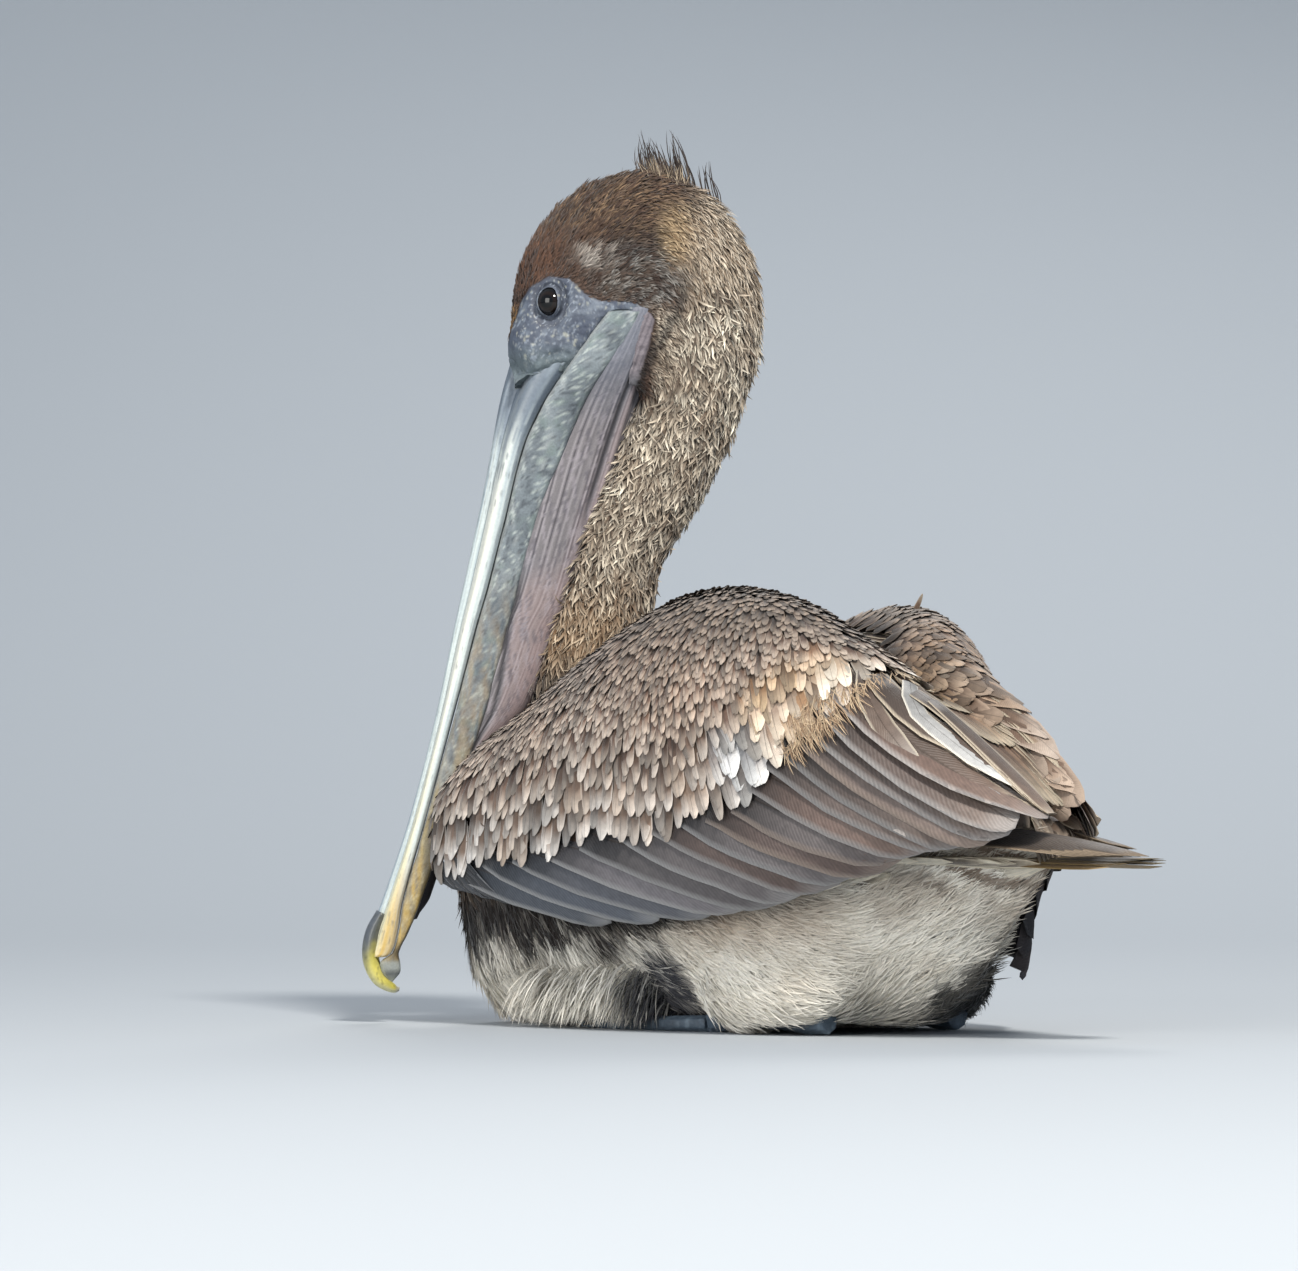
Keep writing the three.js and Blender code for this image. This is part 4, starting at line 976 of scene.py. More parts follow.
def vanes(name, line, normal, width, tint_root, tint_mid, tint_tip, fringe, slot, look, uv, columns=2,
          arch=0.22, point=0.55, seed=1, thick=0.0, ruffle=0.0, stands_for=(), root=0.45, steps=None,
          blunt=0.06, cell=PATCH):
    """Feathers with two webs, along lines of (count, stations, 3) from root to tip; thick closes them."""
    own = np.random.default_rng(seed)
    count, stations = line.shape[:2]
    t = np.linspace(0, 1, stations) if steps is None else steps
    way = unit(np.gradient(line, axis=1))
    across = unit(np.cross(normal, way))
    up = unit(np.cross(way, across))
    u = np.linspace(-1, 1, 2 * (columns // 2) + 1)
    half = (width[:, None] / 2) * np.maximum(vane_outline(t, point, root), blunt)[None]
    waves = ruffle * np.sin(own.uniform(0, 6.3, (count, 1, 1)) + 9 * t[None, :, None]
                            + 4 * u[None, None]) * np.abs(u) ** 2 * t[None, :, None]
    rise = -arch * half[..., None] * u**2 + waves * half[..., None]
    grid = (line[:, :, None] + across[:, :, None] * (half[..., None] * u)[..., None]
            + up[:, :, None] * rise[..., None])
    per_line = len(u)
    level = own.uniform(0.82, 1.18, (count, 1, 1, 1))
    tt = t[None, :, None, None]
    colour = mix(tint_root[:, None, None], tint_mid[:, None, None], smooth(tt, 0.05, 0.5))
    colour = mix(colour, tint_tip[:, None, None], smooth(tt, 0.55, 0.98)) * level
    colour = np.broadcast_to(colour, grid.shape)
    edge = np.broadcast_to(fringe[:, None, None] * (0.5 + 0.5 * level), grid.shape)
    lay = np.stack(np.broadcast_arrays(u[None, None], t[None, :, None], own.random((count, 1, 1))), -1)
    in_cell = np.stack(np.broadcast_arrays(0.45 * u[None, None], t[None, :, None] - 0.5), -1)
    place = np.broadcast_to(uv[:, None, None] + cell * in_cell, grid.shape[:-1] + (2,))
    i, j = np.meshgrid(np.arange(stations - 1), np.arange(per_line - 1), indexing="ij")
    a = (i * per_line + j).ravel()
    quad = np.stack([a, a + 1, a + per_line + 1, a + per_line], -1)
    size = stations * per_line
    base = (np.arange(count) * size)[:, None, None]
    faces = [(base + quad[None]).reshape(-1, 4)]
    grid[..., 2] = np.maximum(grid[..., 2], LOWEST)
    shown = (grid, colour, edge, lay, place)
    points, colours, edges, lays, places = (v.reshape(count * size, -1) for v in shown)
    if thick:
        depth_at = thick * (1 - 0.85 * u**2)[None, None] * (1 - 0.7 * t[None, :, None])
        under = grid - up[:, :, None] * depth_at[..., None]
        start = count * size
        ring = np.concatenate([np.arange(per_line), per_line * np.arange(1, stations) + per_line - 1,
                               (stations - 1) * per_line + np.arange(per_line - 2, -1, -1),
                               per_line * np.arange(stations - 2, 0, -1)])
        after = np.roll(ring, -1)
        rim = np.stack([after, ring, ring + start, after + start], -1)
        faces += [(base + quad[None, :, ::-1] + start).reshape(-1, 4), (base + rim[None]).reshape(-1, 4)]
        under[..., 2] = np.maximum(under[..., 2], LOWEST)
        points = np.concatenate([points, under.reshape(-1, 3)])
        colours, edges, lays = (np.concatenate([v, v]) for v in (colours, edges, lays))
        places = np.concatenate([places, places])
    make_piece(name, points, faces, colours, look, slot, stands_for, lay=lays, fringe=edges, uv=places)


# ---------- the coat of fine feathers ----------
def inside_nodes(points, nodes, depth=0.6):
    """True where a point lies more than depth mm inside one of the CAD nodes."""
    out = np.zeros(len(points), bool)
    for node in nodes:
        low, high = (np.array(corner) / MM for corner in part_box(node))
        near = np.nonzero(((points > low) & (points < high)).all(1) & ~out)[0]
        out[near] = distance_inside(tree_of(node), points[near]) < -depth
    return out


COVERED_BY = ["bill_upper", "bill_lower", "pouch", "scapulars", "tail"]
COVERED_BY += [f"{part}_{side}" for side in SIDES for part in ("foot", "tarsus")]
UNDER_WINGS = [f"wing_{side}_{part}" for side in SIDES for part in ("secondaries", "tertials", "primaries")]
hidden = inside_nodes(skin_points, COVERED_BY) | inside_nodes(skin_points, UNDER_WINGS, 1.5)
bare = bare_face(skin_points)
open_skin = ~hidden & (skin_normals[:, 2] > -0.995)

fine_look = material("fine_feathers", roughness=0.85, sheen=0.3, grain=0.7, grain_depth=0.05,
                     grain_tint=0.2)
down_look = material("body_feathers", roughness=0.9, sheen=0.35, grain=1.2, grain_depth=0.05,
                     grain_tint=0.2)


def coat_of_head():
    cover = (weights["head"] > 0.5) & (bare < 0.4) & open_skin
    roots = scatter(cover.astype(float), 0.95, 21)
    forward, _, height = to_head(roots["p"])
    root_tint, tip_tint = head_colours(roots["p"])
    nape = smooth(-forward, 34, 66)
    near_face = 1 - smooth(outline_distance(forward, height, BARE_EDGE), 1, 14)
    crown = smooth(height, 392, 410)
    length = mix(6.0, 9.5, nape) * (1 - 0.5 * near_face) + 2.5 * crown
    lift = 0.45 + 0.25 * nape + 0.45 * crown
    blades("coat_head", roots, length, 0.85, root_tint, tip_tint, "head_plumage", fine_look, lift=lift,
           curl=0.13, settle=0.5, segments=3, seed=22, spread=0.22, pale=0.3, vary=0.9)


def coat_of_neck():
    share, _ = along_neck(skin_points)
    own = (weights["neck"] > 0.5) & open_skin
    own &= weights["wing_left"] + weights["wing_right"] < 0.5
    parts = (("coat_neck_upper", own & (share > 0.6), 31), ("coat_neck_lower", own & (share <= 0.6), 32))
    for name, cover, seed in parts:
        roots = scatter(cover.astype(float), 1.3, seed)
        root_tint, tip_tint = neck_colours(roots["p"])
        forward, _, _ = to_head(roots["p"])
        behind = smooth(-forward, 40, 78)
        base = 1 - smooth(along_neck(roots["p"])[0], 0.08, 0.3)
        blades(name, roots, 9.5 + 1.5 * behind + 5 * base, 1.25, root_tint, tip_tint, "neck_plumage",
               fine_look, lift=0.5 + 0.2 * behind, curl=0.3, settle=0.5, segments=4, seed=seed + 10,
               spread=0.3, pale=0.3, vary=0.9, shape=(0.6, 0.8, 1.0, 0.75), late=1.7)


def coat_of_trunk():
    own = (weights["trunk"] > 0.5) & open_skin
    x, _, z = skin_points.T
    under = own & (z > 1.5)
    top = (skin_normals[:, 2] > 0.45) & (z > 95)
    below = under & ~top
    parts = (("coat_breast", below & (x <= -70), 41), ("coat_belly", below & (x > -70) & (x <= 40), 42),
             ("coat_flank", below & (x > 40), 43))
    for name, cover, seed in parts:
        roots = scatter(cover.astype(float), 2.3, seed)
        root_tint, tip_tint = trunk_colours(roots["p"])
        px, _, pz = roots["p"].T
        length = 15 + 3 * noise(roots["p"], 25, seed)
        length = np.minimum(length, 9 + 0.9 * pz) * (1 - 0.35 * smooth(px, 120, 170))
        blades(name, roots, length, 0.85, root_tint, tip_tint, "body_plumage", down_look, lift=0.26,
               curl=0.13, settle=0.75, segments=4, per_root=4, seed=seed + 10, spread=0.16, pale=0.2,
               uneven=0.1)


vane_look = material("vanes", roughness=0.62, sheen=0.2, grain=2.2, grain_depth=0.12, grain_tint=0.3,
                     vane=True)


def over_skin(roots, length, stations, lift, radius=90.0):
    """Lines of feathers that grow from the roots and follow a body of about the given radius."""
    t = np.linspace(0, 1, stations)[None, :, None]
    reach = length[:, None, None]
    p, n, way = (roots[k][:, None] for k in ("p", "n", "flow"))
    rise = lift * reach * (t - 0.85 * t**2) - reach**2 * t**2 / (2 * radius)
    return p + way * reach * t + n * rise, np.broadcast_to(n, (len(length), stations, 3))


def coat_of_back():
    """The back and rump: small brown feathers with two webs."""
    cover = (weights["trunk"] > 0.5) & open_skin & (skin_normals[:, 2] > 0.4) & (skin_points[:, 2] > 95)
    roots = scatter(cover.astype(float), 3.6, 51)
    length = 15 + 4 * smooth(roots["p"][:, 0], -60, 60)
    line, normal = over_skin(roots, length, 5, 0.3)
    mid = blend_colours("4c3a2e", ("74604e", grizzle(roots["p"], 12, 52)))
    mid = mid * np.random.default_rng(54).choice([0.6, 0.85, 1.0, 1.2], (len(length), 1))
    tip = mix(mid, rgb("cdbfae"), 0.5)
    vanes("coat_back", line, normal, 0.36 * length, mid * 0.2, mid * 0.9, tip, mix(mid, CREAM, 0.7),
          "body_plumage", vane_look, roots["uv"], seed=53, arch=0.34)


# ---------- the wings ----------
def nearest_uv(points):
    """Places on the skin's unwrap nearest to some points."""
    tree = BVHTree.FromPolygons([Vector(p) for p in skin_points], skin_triangles.tolist())
    out = np.empty((len(points), 2))
    for i, p in enumerate(points):
        _, _, face, _ = tree.find_nearest(Vector(p))
        out[i] = skin_uv[face].mean(0)
    return out


def lean_of_coverts(x, a):
    """How far a covert leans back from straight down the wing, in radians."""
    low = 0.55 * smooth(x, -30, 80) + 0.3 * smooth(x, 80, 125)
    high = 0.25 + 0.95 * smooth(x, -70, 30)
    return mix(high, low, smooth(a, 2, 36))


# stations along a small feather and a long one, close together at the tip
ROUNDED = np.array([0, 0.3, 0.58, 0.78, 0.9, 0.965, 1.0])
LONG_STEPS = np.array([0, 0.12, 0.26, 0.4, 0.54, 0.67, 0.79, 0.88, 0.94, 0.98, 1.0])


def covert_rows(side_name):
    wing = wings[side_name]
    own = np.random.default_rng(61 + wing.side)
    tips, sizes = [], []
    above, row = -0.5, 0
    while above < 175:
        fine = smooth(above, 4, 66)
        step, width, length = mix(12.0, 4.7, fine), mix(8.2, 3.5, fine), mix(28.0, 14.0, fine)
        x = np.arange(-177.0, 200.0, 0.6 * width) + 0.3 * width * (row % 2)
        x = x + own.normal(0, 0.22 * width, len(x))
        a = wing.edge(x) - above + own.normal(0, mix(0.2, 0.4, smooth(row, 0, 3)) * step, len(x))
        tips.append(np.stack([x, a, np.full(len(x), above)], -1))
        sizes.append(np.stack([np.full(len(x), width), np.full(len(x), length)], -1))
        above += step
        row += 1
    tips, sizes = np.concatenate(tips), np.concatenate(sizes)
    # the far wing shows larger feathers on the side of the back
    large = (wing.side > 0) * smooth(tips[:, 0], -30, 30) * (1 - smooth(tips[:, 1], 0, 30))
    keep = (tips[:, 1] > -52) & (tips[:, 0] > -176) & (own.random(len(tips)) > 0.45 * large)
    tips, sizes = tips[keep], sizes[keep] * own.uniform(0.85, 1.15, (keep.sum(), 1))
    sizes *= 1 + large[keep, None] * [0.8, 0.6]
    x, a, above = tips.T
    width, length = sizes.T
    width = width * (1 + 0.5 * spot(x, above, (78, 10), (26, 20)))
    lean = lean_of_coverts(x, a) + own.normal(0, 0.09, len(x))
    t = ROUNDED[None]
    line_x = x[:, None] - (length * np.sin(lean))[:, None] * (1 - t)
    line_a = a[:, None] - (length * np.cos(lean))[:, None] * (1 - t)
    normal = wing.facing(line_x, line_a)
    rise = mix(-2.0, own.uniform(0.2, 1.5, (len(x), 1)), t**0.8)
    line = wing.at(line_x, line_a) + normal * rise[..., None]
    mid, tip = wing_colours(line[:, -3], above)
    if wing.side > 0:  # the rear of the far wing is a darker, golden brown
        rear = smooth(x, 40, 100)
        mid, tip = blend_colours(mid, ("574234", 0.7 * rear)), blend_colours(tip, ("8a6f56", 0.65 * rear))
    dark = own.choice([0.45, 0.72, 1.0, 1.15], (len(x), 1), p=[0.2, 0.25, 0.35, 0.2])
    uv = nearest_uv(line[:, 0])
    vanes(f"coverts_{side_name}", line, normal, width, mid * 0.18, mid * dark * 0.8, tip * dark,
          mix(mid, tip, 0.85) * dark, "covert_feathers", vane_look, uv, seed=63, arch=0.34, point=0.42,
          ruffle=0.15, steps=ROUNDED, blunt=0.24)


LARGE = dict(grain_depth=0.15, vane=True)
long_look = material("long_feathers", roughness=0.5, sheen=0.15, grain=3.5, grain_tint=0.35, **LARGE)
matt_look = material("matt_feathers", roughness=0.8, grain=3.0, grain_tint=0.3, specular=0.06, **LARGE)
dark_look = material("dark_feathers", roughness=0.55, sheen=0.1, grain=3.0, grain_tint=0.3, **LARGE)

# The long feathers of the wing, from the lowest in front to the highest behind: where each comes out from
# under the coverts and where it ends, by X and Z on the left wing.
LONG_ROOT = (through([(0, -146), (0.13, -89), (0.34, 3), (0.55, 71), (0.69, 96), (0.83, 111), (1, 122)]),
             through([(0, 70), (0.2, 82), (0.41, 100), (0.55, 111), (0.69, 134), (0.83, 147), (1, 163)]))
LONG_TIP = (through([(0, -60), (0.07, -9), (0.2, 55), (0.34, 95), (0.55, 144), (0.83, 191), (1, 201)]),
            through([(0, 58), (0.13, 63), (0.34, 77), (0.55, 92), (0.83, 98), (1, 106)]))


def wing_lines(side_name, root, tip, lift_root, lift_tip, bow, inset=0.12):
    """Lines on a wing from root (x, z) to tip (x, z), bowed down by a share of their length."""
    wing = wings[side_name]
    t = mix(-inset, 1, LONG_STEPS)[None]
    (x0, z0), (x1, z1) = ((v[:, None] for v in pair) for pair in (root, tip))
    x = mix(x0, x1, t)
    span = np.hypot(x1 - x0, z1 - z0)
    z = mix(z0, z1, t) - bow * span * 4 * t * (1 - t) - wing_droop(wing.side, x)
    a = wing.down_to(x.ravel(), z.ravel()).reshape(x.shape)
    kernel = np.ones(3) / 3
    a[:, 1:-1] = np.apply_along_axis(lambda r: np.convolve(r, kernel, "valid"), 1, a)
    normal = wing.facing(x, a)
    lift = mix(lift_root, lift_tip, np.clip(t, 0, 1))[..., None]
    return wing.at(x, a) + normal * lift, normal


def tilted(line, normal, side, tilt):
    """Turns each feather's normal about its shaft, so that it lies over its neighbour below."""
    way = unit(np.gradient(line, axis=1))
    across = unit(np.cross(normal, way))
    return unit(normal - side * tilt * across)


CELL = 0.02  # how wide each large feather's cell of the bake map is
CELL_ROWS = 40


def cells_of(count, start):
    """Places of their own on the bake map for large feathers, in a grid."""
    i = np.arange(count) + start
    return np.stack([(i % CELL_ROWS + 0.5) / CELL_ROWS, (i // CELL_ROWS + 0.5) / CELL_ROWS], -1)


def long_feathers(side_name):
    wing = wings[side_name]
    own = np.random.default_rng(71 + wing.side)
    count = 17
    s = (np.arange(count) + 0.5) / count
    tip = [LONG_TIP[0](s) + own.normal(0, 1.5, count), LONG_TIP[1](s) - 1.2 * (1 - smooth(s, 0.5, 0.7))]
    root = [f(s) for f in LONG_ROOT]
    root[1] = root[1] + 7 * (1 - smooth(s, 0.3, 0.6))
    look = long_look if wing.side < 0 else matt_look
    line, normal = wing_lines(side_name, root, tip, -3.2, 1.3, 0.015)
    # the tips stand out below the edge of the wing
    out = 6.0 * smooth(LONG_STEPS, 0.6, 1.0)[None] * (1 - smooth(s, 0.5, 0.7))[:, None]
    out = out * own.uniform(0.7, 1.3, (count, 1))
    line = line + out[..., None] * np.array([0.55, 0, -0.75])
    normal = tilted(line, normal, wing.side, 0.34)
    front, rear = 1 - smooth(s, 0.05, 0.3), smooth(s, 0.5, 0.7)
    mid = blend_colours(GREY_VANE, (BLUE_GREY, 0.8 * front), ("574942", 0.8 * rear),
                        ("5f4a40", 0.6 * (own.random(count) < 0.3) * smooth(s, 0.15, 0.4)))
    # the far wing's lower long feathers are painted near black: painted shade on that wing
    if wing.side > 0:
        mid = blend_colours(mid, ("1c1b1f", 0.9 * (1 - smooth(s, 0.62, 0.85))))
    mid = mid * own.uniform(0.75, 1.35, (count, 1))
    tip = blend_colours(mid * 1.15, ("8b7b70", 0.4 * rear))
    fringe = blend_colours(mix(mid, rgb("c4c2bf"), 0.5), ("96785f", 0.5 * (own.random(count) < 0.3)))
    # their fringes are painted dark too, as part of the same painted shade
    if wing.side > 0:
        fringe = blend_colours(fringe, ("2a292d", 0.9 * (1 - smooth(s, 0.62, 0.85))))
    vanes(f"secondaries_{side_name}", line, normal, 26 - 4 * front + 1 * rear, mid * 0.3, mid, tip,
          fringe, "wing_feathers", look, cells_of(count, 0), columns=8, arch=0.16, point=0.2, seed=72,
          thick=0.5, ruffle=0.05, root=0.75, steps=LONG_STEPS, blunt=0.25, cell=CELL,
          stands_for=[f"wing_{side_name}_secondaries"])


def front_tuft(side_name):
    """The short dark pointed feathers below the bend of the wing."""
    own = np.random.default_rng(77)
    count = 16
    s = (np.arange(count) + 0.5) / count
    root = [mix(-168, -128, s), mix(72, 75, s)]
    tip = [root[0] + mix(12, 34, s) + own.normal(0, 3, count), mix(60, 57, s) + own.normal(0, 2, count)]
    line, normal = wing_lines(side_name, root, tip, -0.8, 1.8, 0.05, inset=0.3)
    mid = blend_colours("232529", ("5a5e66", own.random(count) * 0.5))
    vanes(f"front_tuft_{side_name}", line, normal, own.uniform(4.5, 7.5, count), mid * 0.4, mid,
          mid * 1.25, mix(mid, SILVER, 0.4), "wing_feathers", long_look, cells_of(count, 40), columns=4,
          arch=0.2, point=0.75, seed=78, thick=0.4, ruffle=0.1, steps=LONG_STEPS, blunt=0.1, cell=CELL)


def tertials(side_name):
    """Long feathers from the elbow along the ridge of the hind wing, the last ones silver."""
    wing = wings[side_name]
    root = [np.array([112, 117, 124, 132, 138, 144]), np.array([166, 168, 165, 161, 158, 154])]
    tip = [np.array([194, 156, 198, 190, 201, 203]), np.array([108, 126, 112, 114, 119, 123])]
    if wing.side > 0:
        root[1], tip[1] = root[1] - 22, tip[1] - 14
    line, normal = wing_lines(side_name, root, tip, -1.2, 1.0, 0.02, inset=0.08)
    line = line + normal * (0.45 * np.arange(6))[:, None, None]
    normal = tilted(line, normal, wing.side, 0.1)
    brown, pale = rgb("54463d"), rgb("a09f9d")
    mid = np.array([brown, brown * 1.2, brown * 0.8, pale, brown, brown * 0.9])
    tip_tint = np.array([rgb(c) for c in ("7f6b5f", "918880", "6f5d51", "cbcac7", "7d6b5c", "6f5d51")])
    if wing.side > 0:
        mid = mid * [[1.15, 1.0, 0.8]]
    vanes(f"tertials_{side_name}", line, normal, np.array([19, 11, 18, 11, 15, 12.0]), mid * 0.5, mid,
          tip_tint, mix(tip_tint, CREAM, 0.5), "wing_feathers", long_look, cells_of(6, 80), columns=8,
          arch=0.14, point=0.4, seed=74, thick=0.5, ruffle=0.06, root=0.75, steps=LONG_STEPS, blunt=0.2,
          cell=CELL, stands_for=[f"wing_{side_name}_tertials"])


def scapulars():
    """Feathers of the back, over the dip between the wings, in six tiers."""
    own = np.random.default_rng(81)
    lines, normals, widths, mids = [], [], [], []
    # where each tier starts and ends along the back, and how many feathers it has
    tiers = ((-0.12, 0.18, 24), (0.0, 0.34, 25), (0.12, 0.48, 24),
             (0.26, 0.62, 25), (0.4, 0.78, 22), (0.56, 1.0, 17))
    for first, last, count in tiers:
        across = np.linspace(-0.86, 0.86, count) + own.normal(0, 0.02, count)
        t = np.linspace(first, last, 9)[None]
        c = across[:, None]
        x = 34 + (150 - 10 * c**2) * t
        sections = [wing_section(np.where(v > 0, 1, -1), xs) for v, xs in zip(across, x)]
        lean, out, middle, _, high = (np.array([s[k] for s in sections]) for k in range(5))
        spine = BACK_LINE(x) + mix(4, 10, smooth(x, 60, 130))
        z = mix(spine, middle + high + 1, c**2) + np.linspace(-2.2, 1.4, 9)[None]
        lines.append(np.stack([x, -c * (out + lean) * 0.95, z], -1))
        normals.append(unit(np.stack([0 * x + 0.4, 0 * x - 0.1 * c, 0 * x + 1], -1)))
        widths.append(mix(7.5, 11.0, max(first, 0)) * own.uniform(0.85, 1.15, count))
        mids.append(blend_colours("4d3b30", ("836a55", own.random(count) * 0.7),
                                  ("2c221b", 0.6 * (own.random(count) < 0.35))))
    line, normal, width, mid = (np.concatenate(v) for v in (lines, normals, widths, mids))
    vanes("scapular_feathers", line, normal, width, mid * 0.35, mid, mix(mid, CREAM, 0.25),
          mix(mid, CREAM, 0.6), "wing_feathers", long_look, cells_of(len(width), 200), columns=4,
          arch=0.3, point=0.6, seed=82, thick=0.3, ruffle=0.12, root=0.6, blunt=0.15, cell=CELL,
          stands_for=["scapulars"])


def primaries(side_name):
    """The dark ends of the longest wing feathers, which reach back over the tail."""
    side = wings[side_name].side
    tip = np.array([228, 9, 89]) if side > 0 else np.array([249, -12, 86])
    count = 6
    s = ((np.arange(count) + 0.5) / count)[:, None]
    t = np.linspace(0, 1, 10)[None]
    x = mix(118, tip[0] - 24 * (1 - s), t)
    inner = mix(66, 42, s) - 0.5 * wing_tuck(side, np.full_like(s, 126))
    y = side * mix(inner, side * tip[1] + 9 * (0.5 - s), t**0.8)
    z = mix(98, tip[2] - 0.6, t**2) + mix(-3, 2, s) * (1 - t) + 0.4 * s
    line = np.stack([x, y, z], -1)
    normal = unit(np.stack([0 * x, side * mix(0.6, 0.15, t) + 0 * x, 0 * x + 1], -1))
    mid = np.repeat(rgb("3b332d")[None], count, 0) * np.linspace(0.8, 1.5, count)[:, None]
    vanes(f"primaries_{side_name}", line, normal, np.full(count, 15.0), mid, mid, mid * 0.8,
          np.repeat(rgb("8d7c67")[None], count, 0), "dark_flight_feathers", dark_look,
          cells_of(count, 140), columns=6, arch=0.2, point=0.3, seed=83, thick=0.7, root=0.7, cell=CELL,
          stands_for=[f"wing_{side_name}_primaries"])


def tail_feathers():
    """The short tail, nearly closed."""
    count = 9
    c = np.linspace(-1, 1, count)[:, None]
    t = np.linspace(0, 1, 9)[None]
    x = 146 + (99 - 14 * c**2) * t
    y = c * mix(10, 17, t)
    z = 87 - 4 * c**2 - 2 * t + 0 * c - 0.3
    normal = unit(np.stack([0 * x, 0.2 * c + 0 * x, 0 * x + 1], -1))
    mid = blend_colours("453a2c", ("8d7040", (np.abs(c[:, 0]) > 0.7) * 0.7))
    vanes("tail_feathers", np.stack([x, y, z], -1), normal, np.full(count, 11.0), mid * 0.7, mid,
          mid * 1.1, mix(mid, rgb("a8966c"), 0.4), "dark_flight_feathers", dark_look,
          cells_of(count, 160), columns=6, arch=0.15, point=0.4, seed=84, thick=0.8, root=0.8, cell=CELL,
          stands_for=["tail"])


CREST_TIPS = [(-16, 1, 433), (-19, -2, 440), (-23, 2, 436), (-31, 1, 436), (-33, -1, 440.5), (-37, 2, 430),
              (-48, 1, 424)]
CREST_FOOT = through([(-60, 392), (-48, 402), (-36, 407), (-20, 410), (-8, 409)])


def crest():
    """Loose fine feathers at the back of the crown: short fluff and a few long strands."""
    own = np.random.default_rng(91)
    fluff, wisps, stations = 900, 60, 7
    forward = own.normal(-31, 7.0, fluff)
    height = CREST_FOOT(forward)
    rise = mix(5, 20, own.random(fluff) ** 1.6) * (1 - 0.6 * smooth(np.abs(forward + 30), 3, 20))
    ahead = forward + 3 + 0.1 * (forward + 30) + own.normal(0, 2.0, fluff)
    top = np.stack([ahead, own.normal(0, 3.5, fluff), height + rise], -1)
    foot = np.stack([forward, own.normal(0, 4.5, fluff), height], -1)
    tall = np.array(CREST_TIPS, float)[own.integers(0, len(CREST_TIPS), wisps)]
    tall = tall + own.normal(0, 1, (wisps, 3)) * [1.6, 2.0, 0.5]
    ahead = tall[:, 0] - 7 + own.normal(0, 1.5, wisps)
    base = np.stack([ahead, 0.4 * tall[:, 1], CREST_FOOT(tall[:, 0] - 5)], -1)
    foot = np.concatenate([foot, base])
    top = np.concatenate([top, mix(base, tall, own.uniform(0.6, 1, (wisps, 1)) ** 0.6)])
    strands = fluff + wisps
    t = np.linspace(0, 1, stations)[None, :, None]
    bend = own.normal(0, 1.8, (strands, 1, 3)) * [1, 1, 0]
    path = mix(foot[:, None], top[:, None], t) + bend * np.sin(np.pi * t)
    path[..., 2] = np.minimum(path[..., 2], 440.5)
    line = in_head(path[..., 0], path[..., 1], path[..., 2])
    normal = np.broadcast_to(unit(SIDE + 0.3 * own.normal(0, 1, (strands, 1, 3))), line.shape)
    pale = np.concatenate([own.random(fluff) < 0.4, np.zeros(wisps, bool)])
    mid = blend_colours("5a4c42", ("b5a48c", pale * 0.8), ("2a2320", (np.arange(strands) >= fluff) * 0.9))
    wide = np.concatenate([own.uniform(0.25, 0.5, fluff), own.uniform(0.5, 0.8, wisps)])
    vanes("crest_feathers", line, normal, wide, mid * 0.8, mid, mid * 0.85, mid, "head_plumage",
          fine_look, nearest_uv(line[:, 0]), seed=92, point=0.95, arch=0.3, stands_for=["crest"])


def toe_fringe():
    """Loose fluff at the foot of the belly, which hangs over the toes to the floor."""
    x, y, z = skin_points.T
    cover = (weights["trunk"] > 0.5) & (skin_normals[:, 2] < 0.4) & (x > -112) & (x < -26)
    cover = cover & (z > 3) & (z < 32) & (np.abs(y) > 22)
    roots = scatter(cover.astype(float), 1.25, 101)
    own = np.random.default_rng(102)
    p = roots["p"]
    keep = own.random(len(p)) < mix(1.0, 0.45, smooth(p[:, 2], 8, 30))
    p, places = p[keep], roots["uv"][keep]
    count, t = len(p), np.linspace(0, 1, 6)[None, :, None]
    outward = unit(p * [0.25, 1, 0] + own.normal(0, 13, (count, 3)) * [1, 0.7, 0])
    reach = own.uniform(5, 24, (count, 1, 1)) * (1 - 0.45 * smooth(p[:, 0], -46, -26))[:, None, None]
    drop = (p[:, 2] * own.uniform(0.5, 1.0, count))[:, None, None]
    bend = own.normal(0, 2.2, (count, 1, 3)) * [1, 0.4, 0.3]
    line = p[:, None] + outward[:, None] * reach * (1.5 * t - 0.5 * t**2) - UP * drop * t**1.6 + bend * t**2
    facing = unit(outward + 0.6 * UP + 0.4 * own.normal(0, 1, (count, 3)))
    normal = np.broadcast_to(facing[:, None], line.shape)
    root_tint, tip_tint = trunk_colours(p)
    vanes("toe_fringe", line, normal, own.uniform(0.5, 1.1, count), root_tint * 0.9, root_tint, tip_tint,
          tip_tint, "body_plumage", down_look, places, seed=103, point=0.9, arch=0.2, ruffle=0.2)


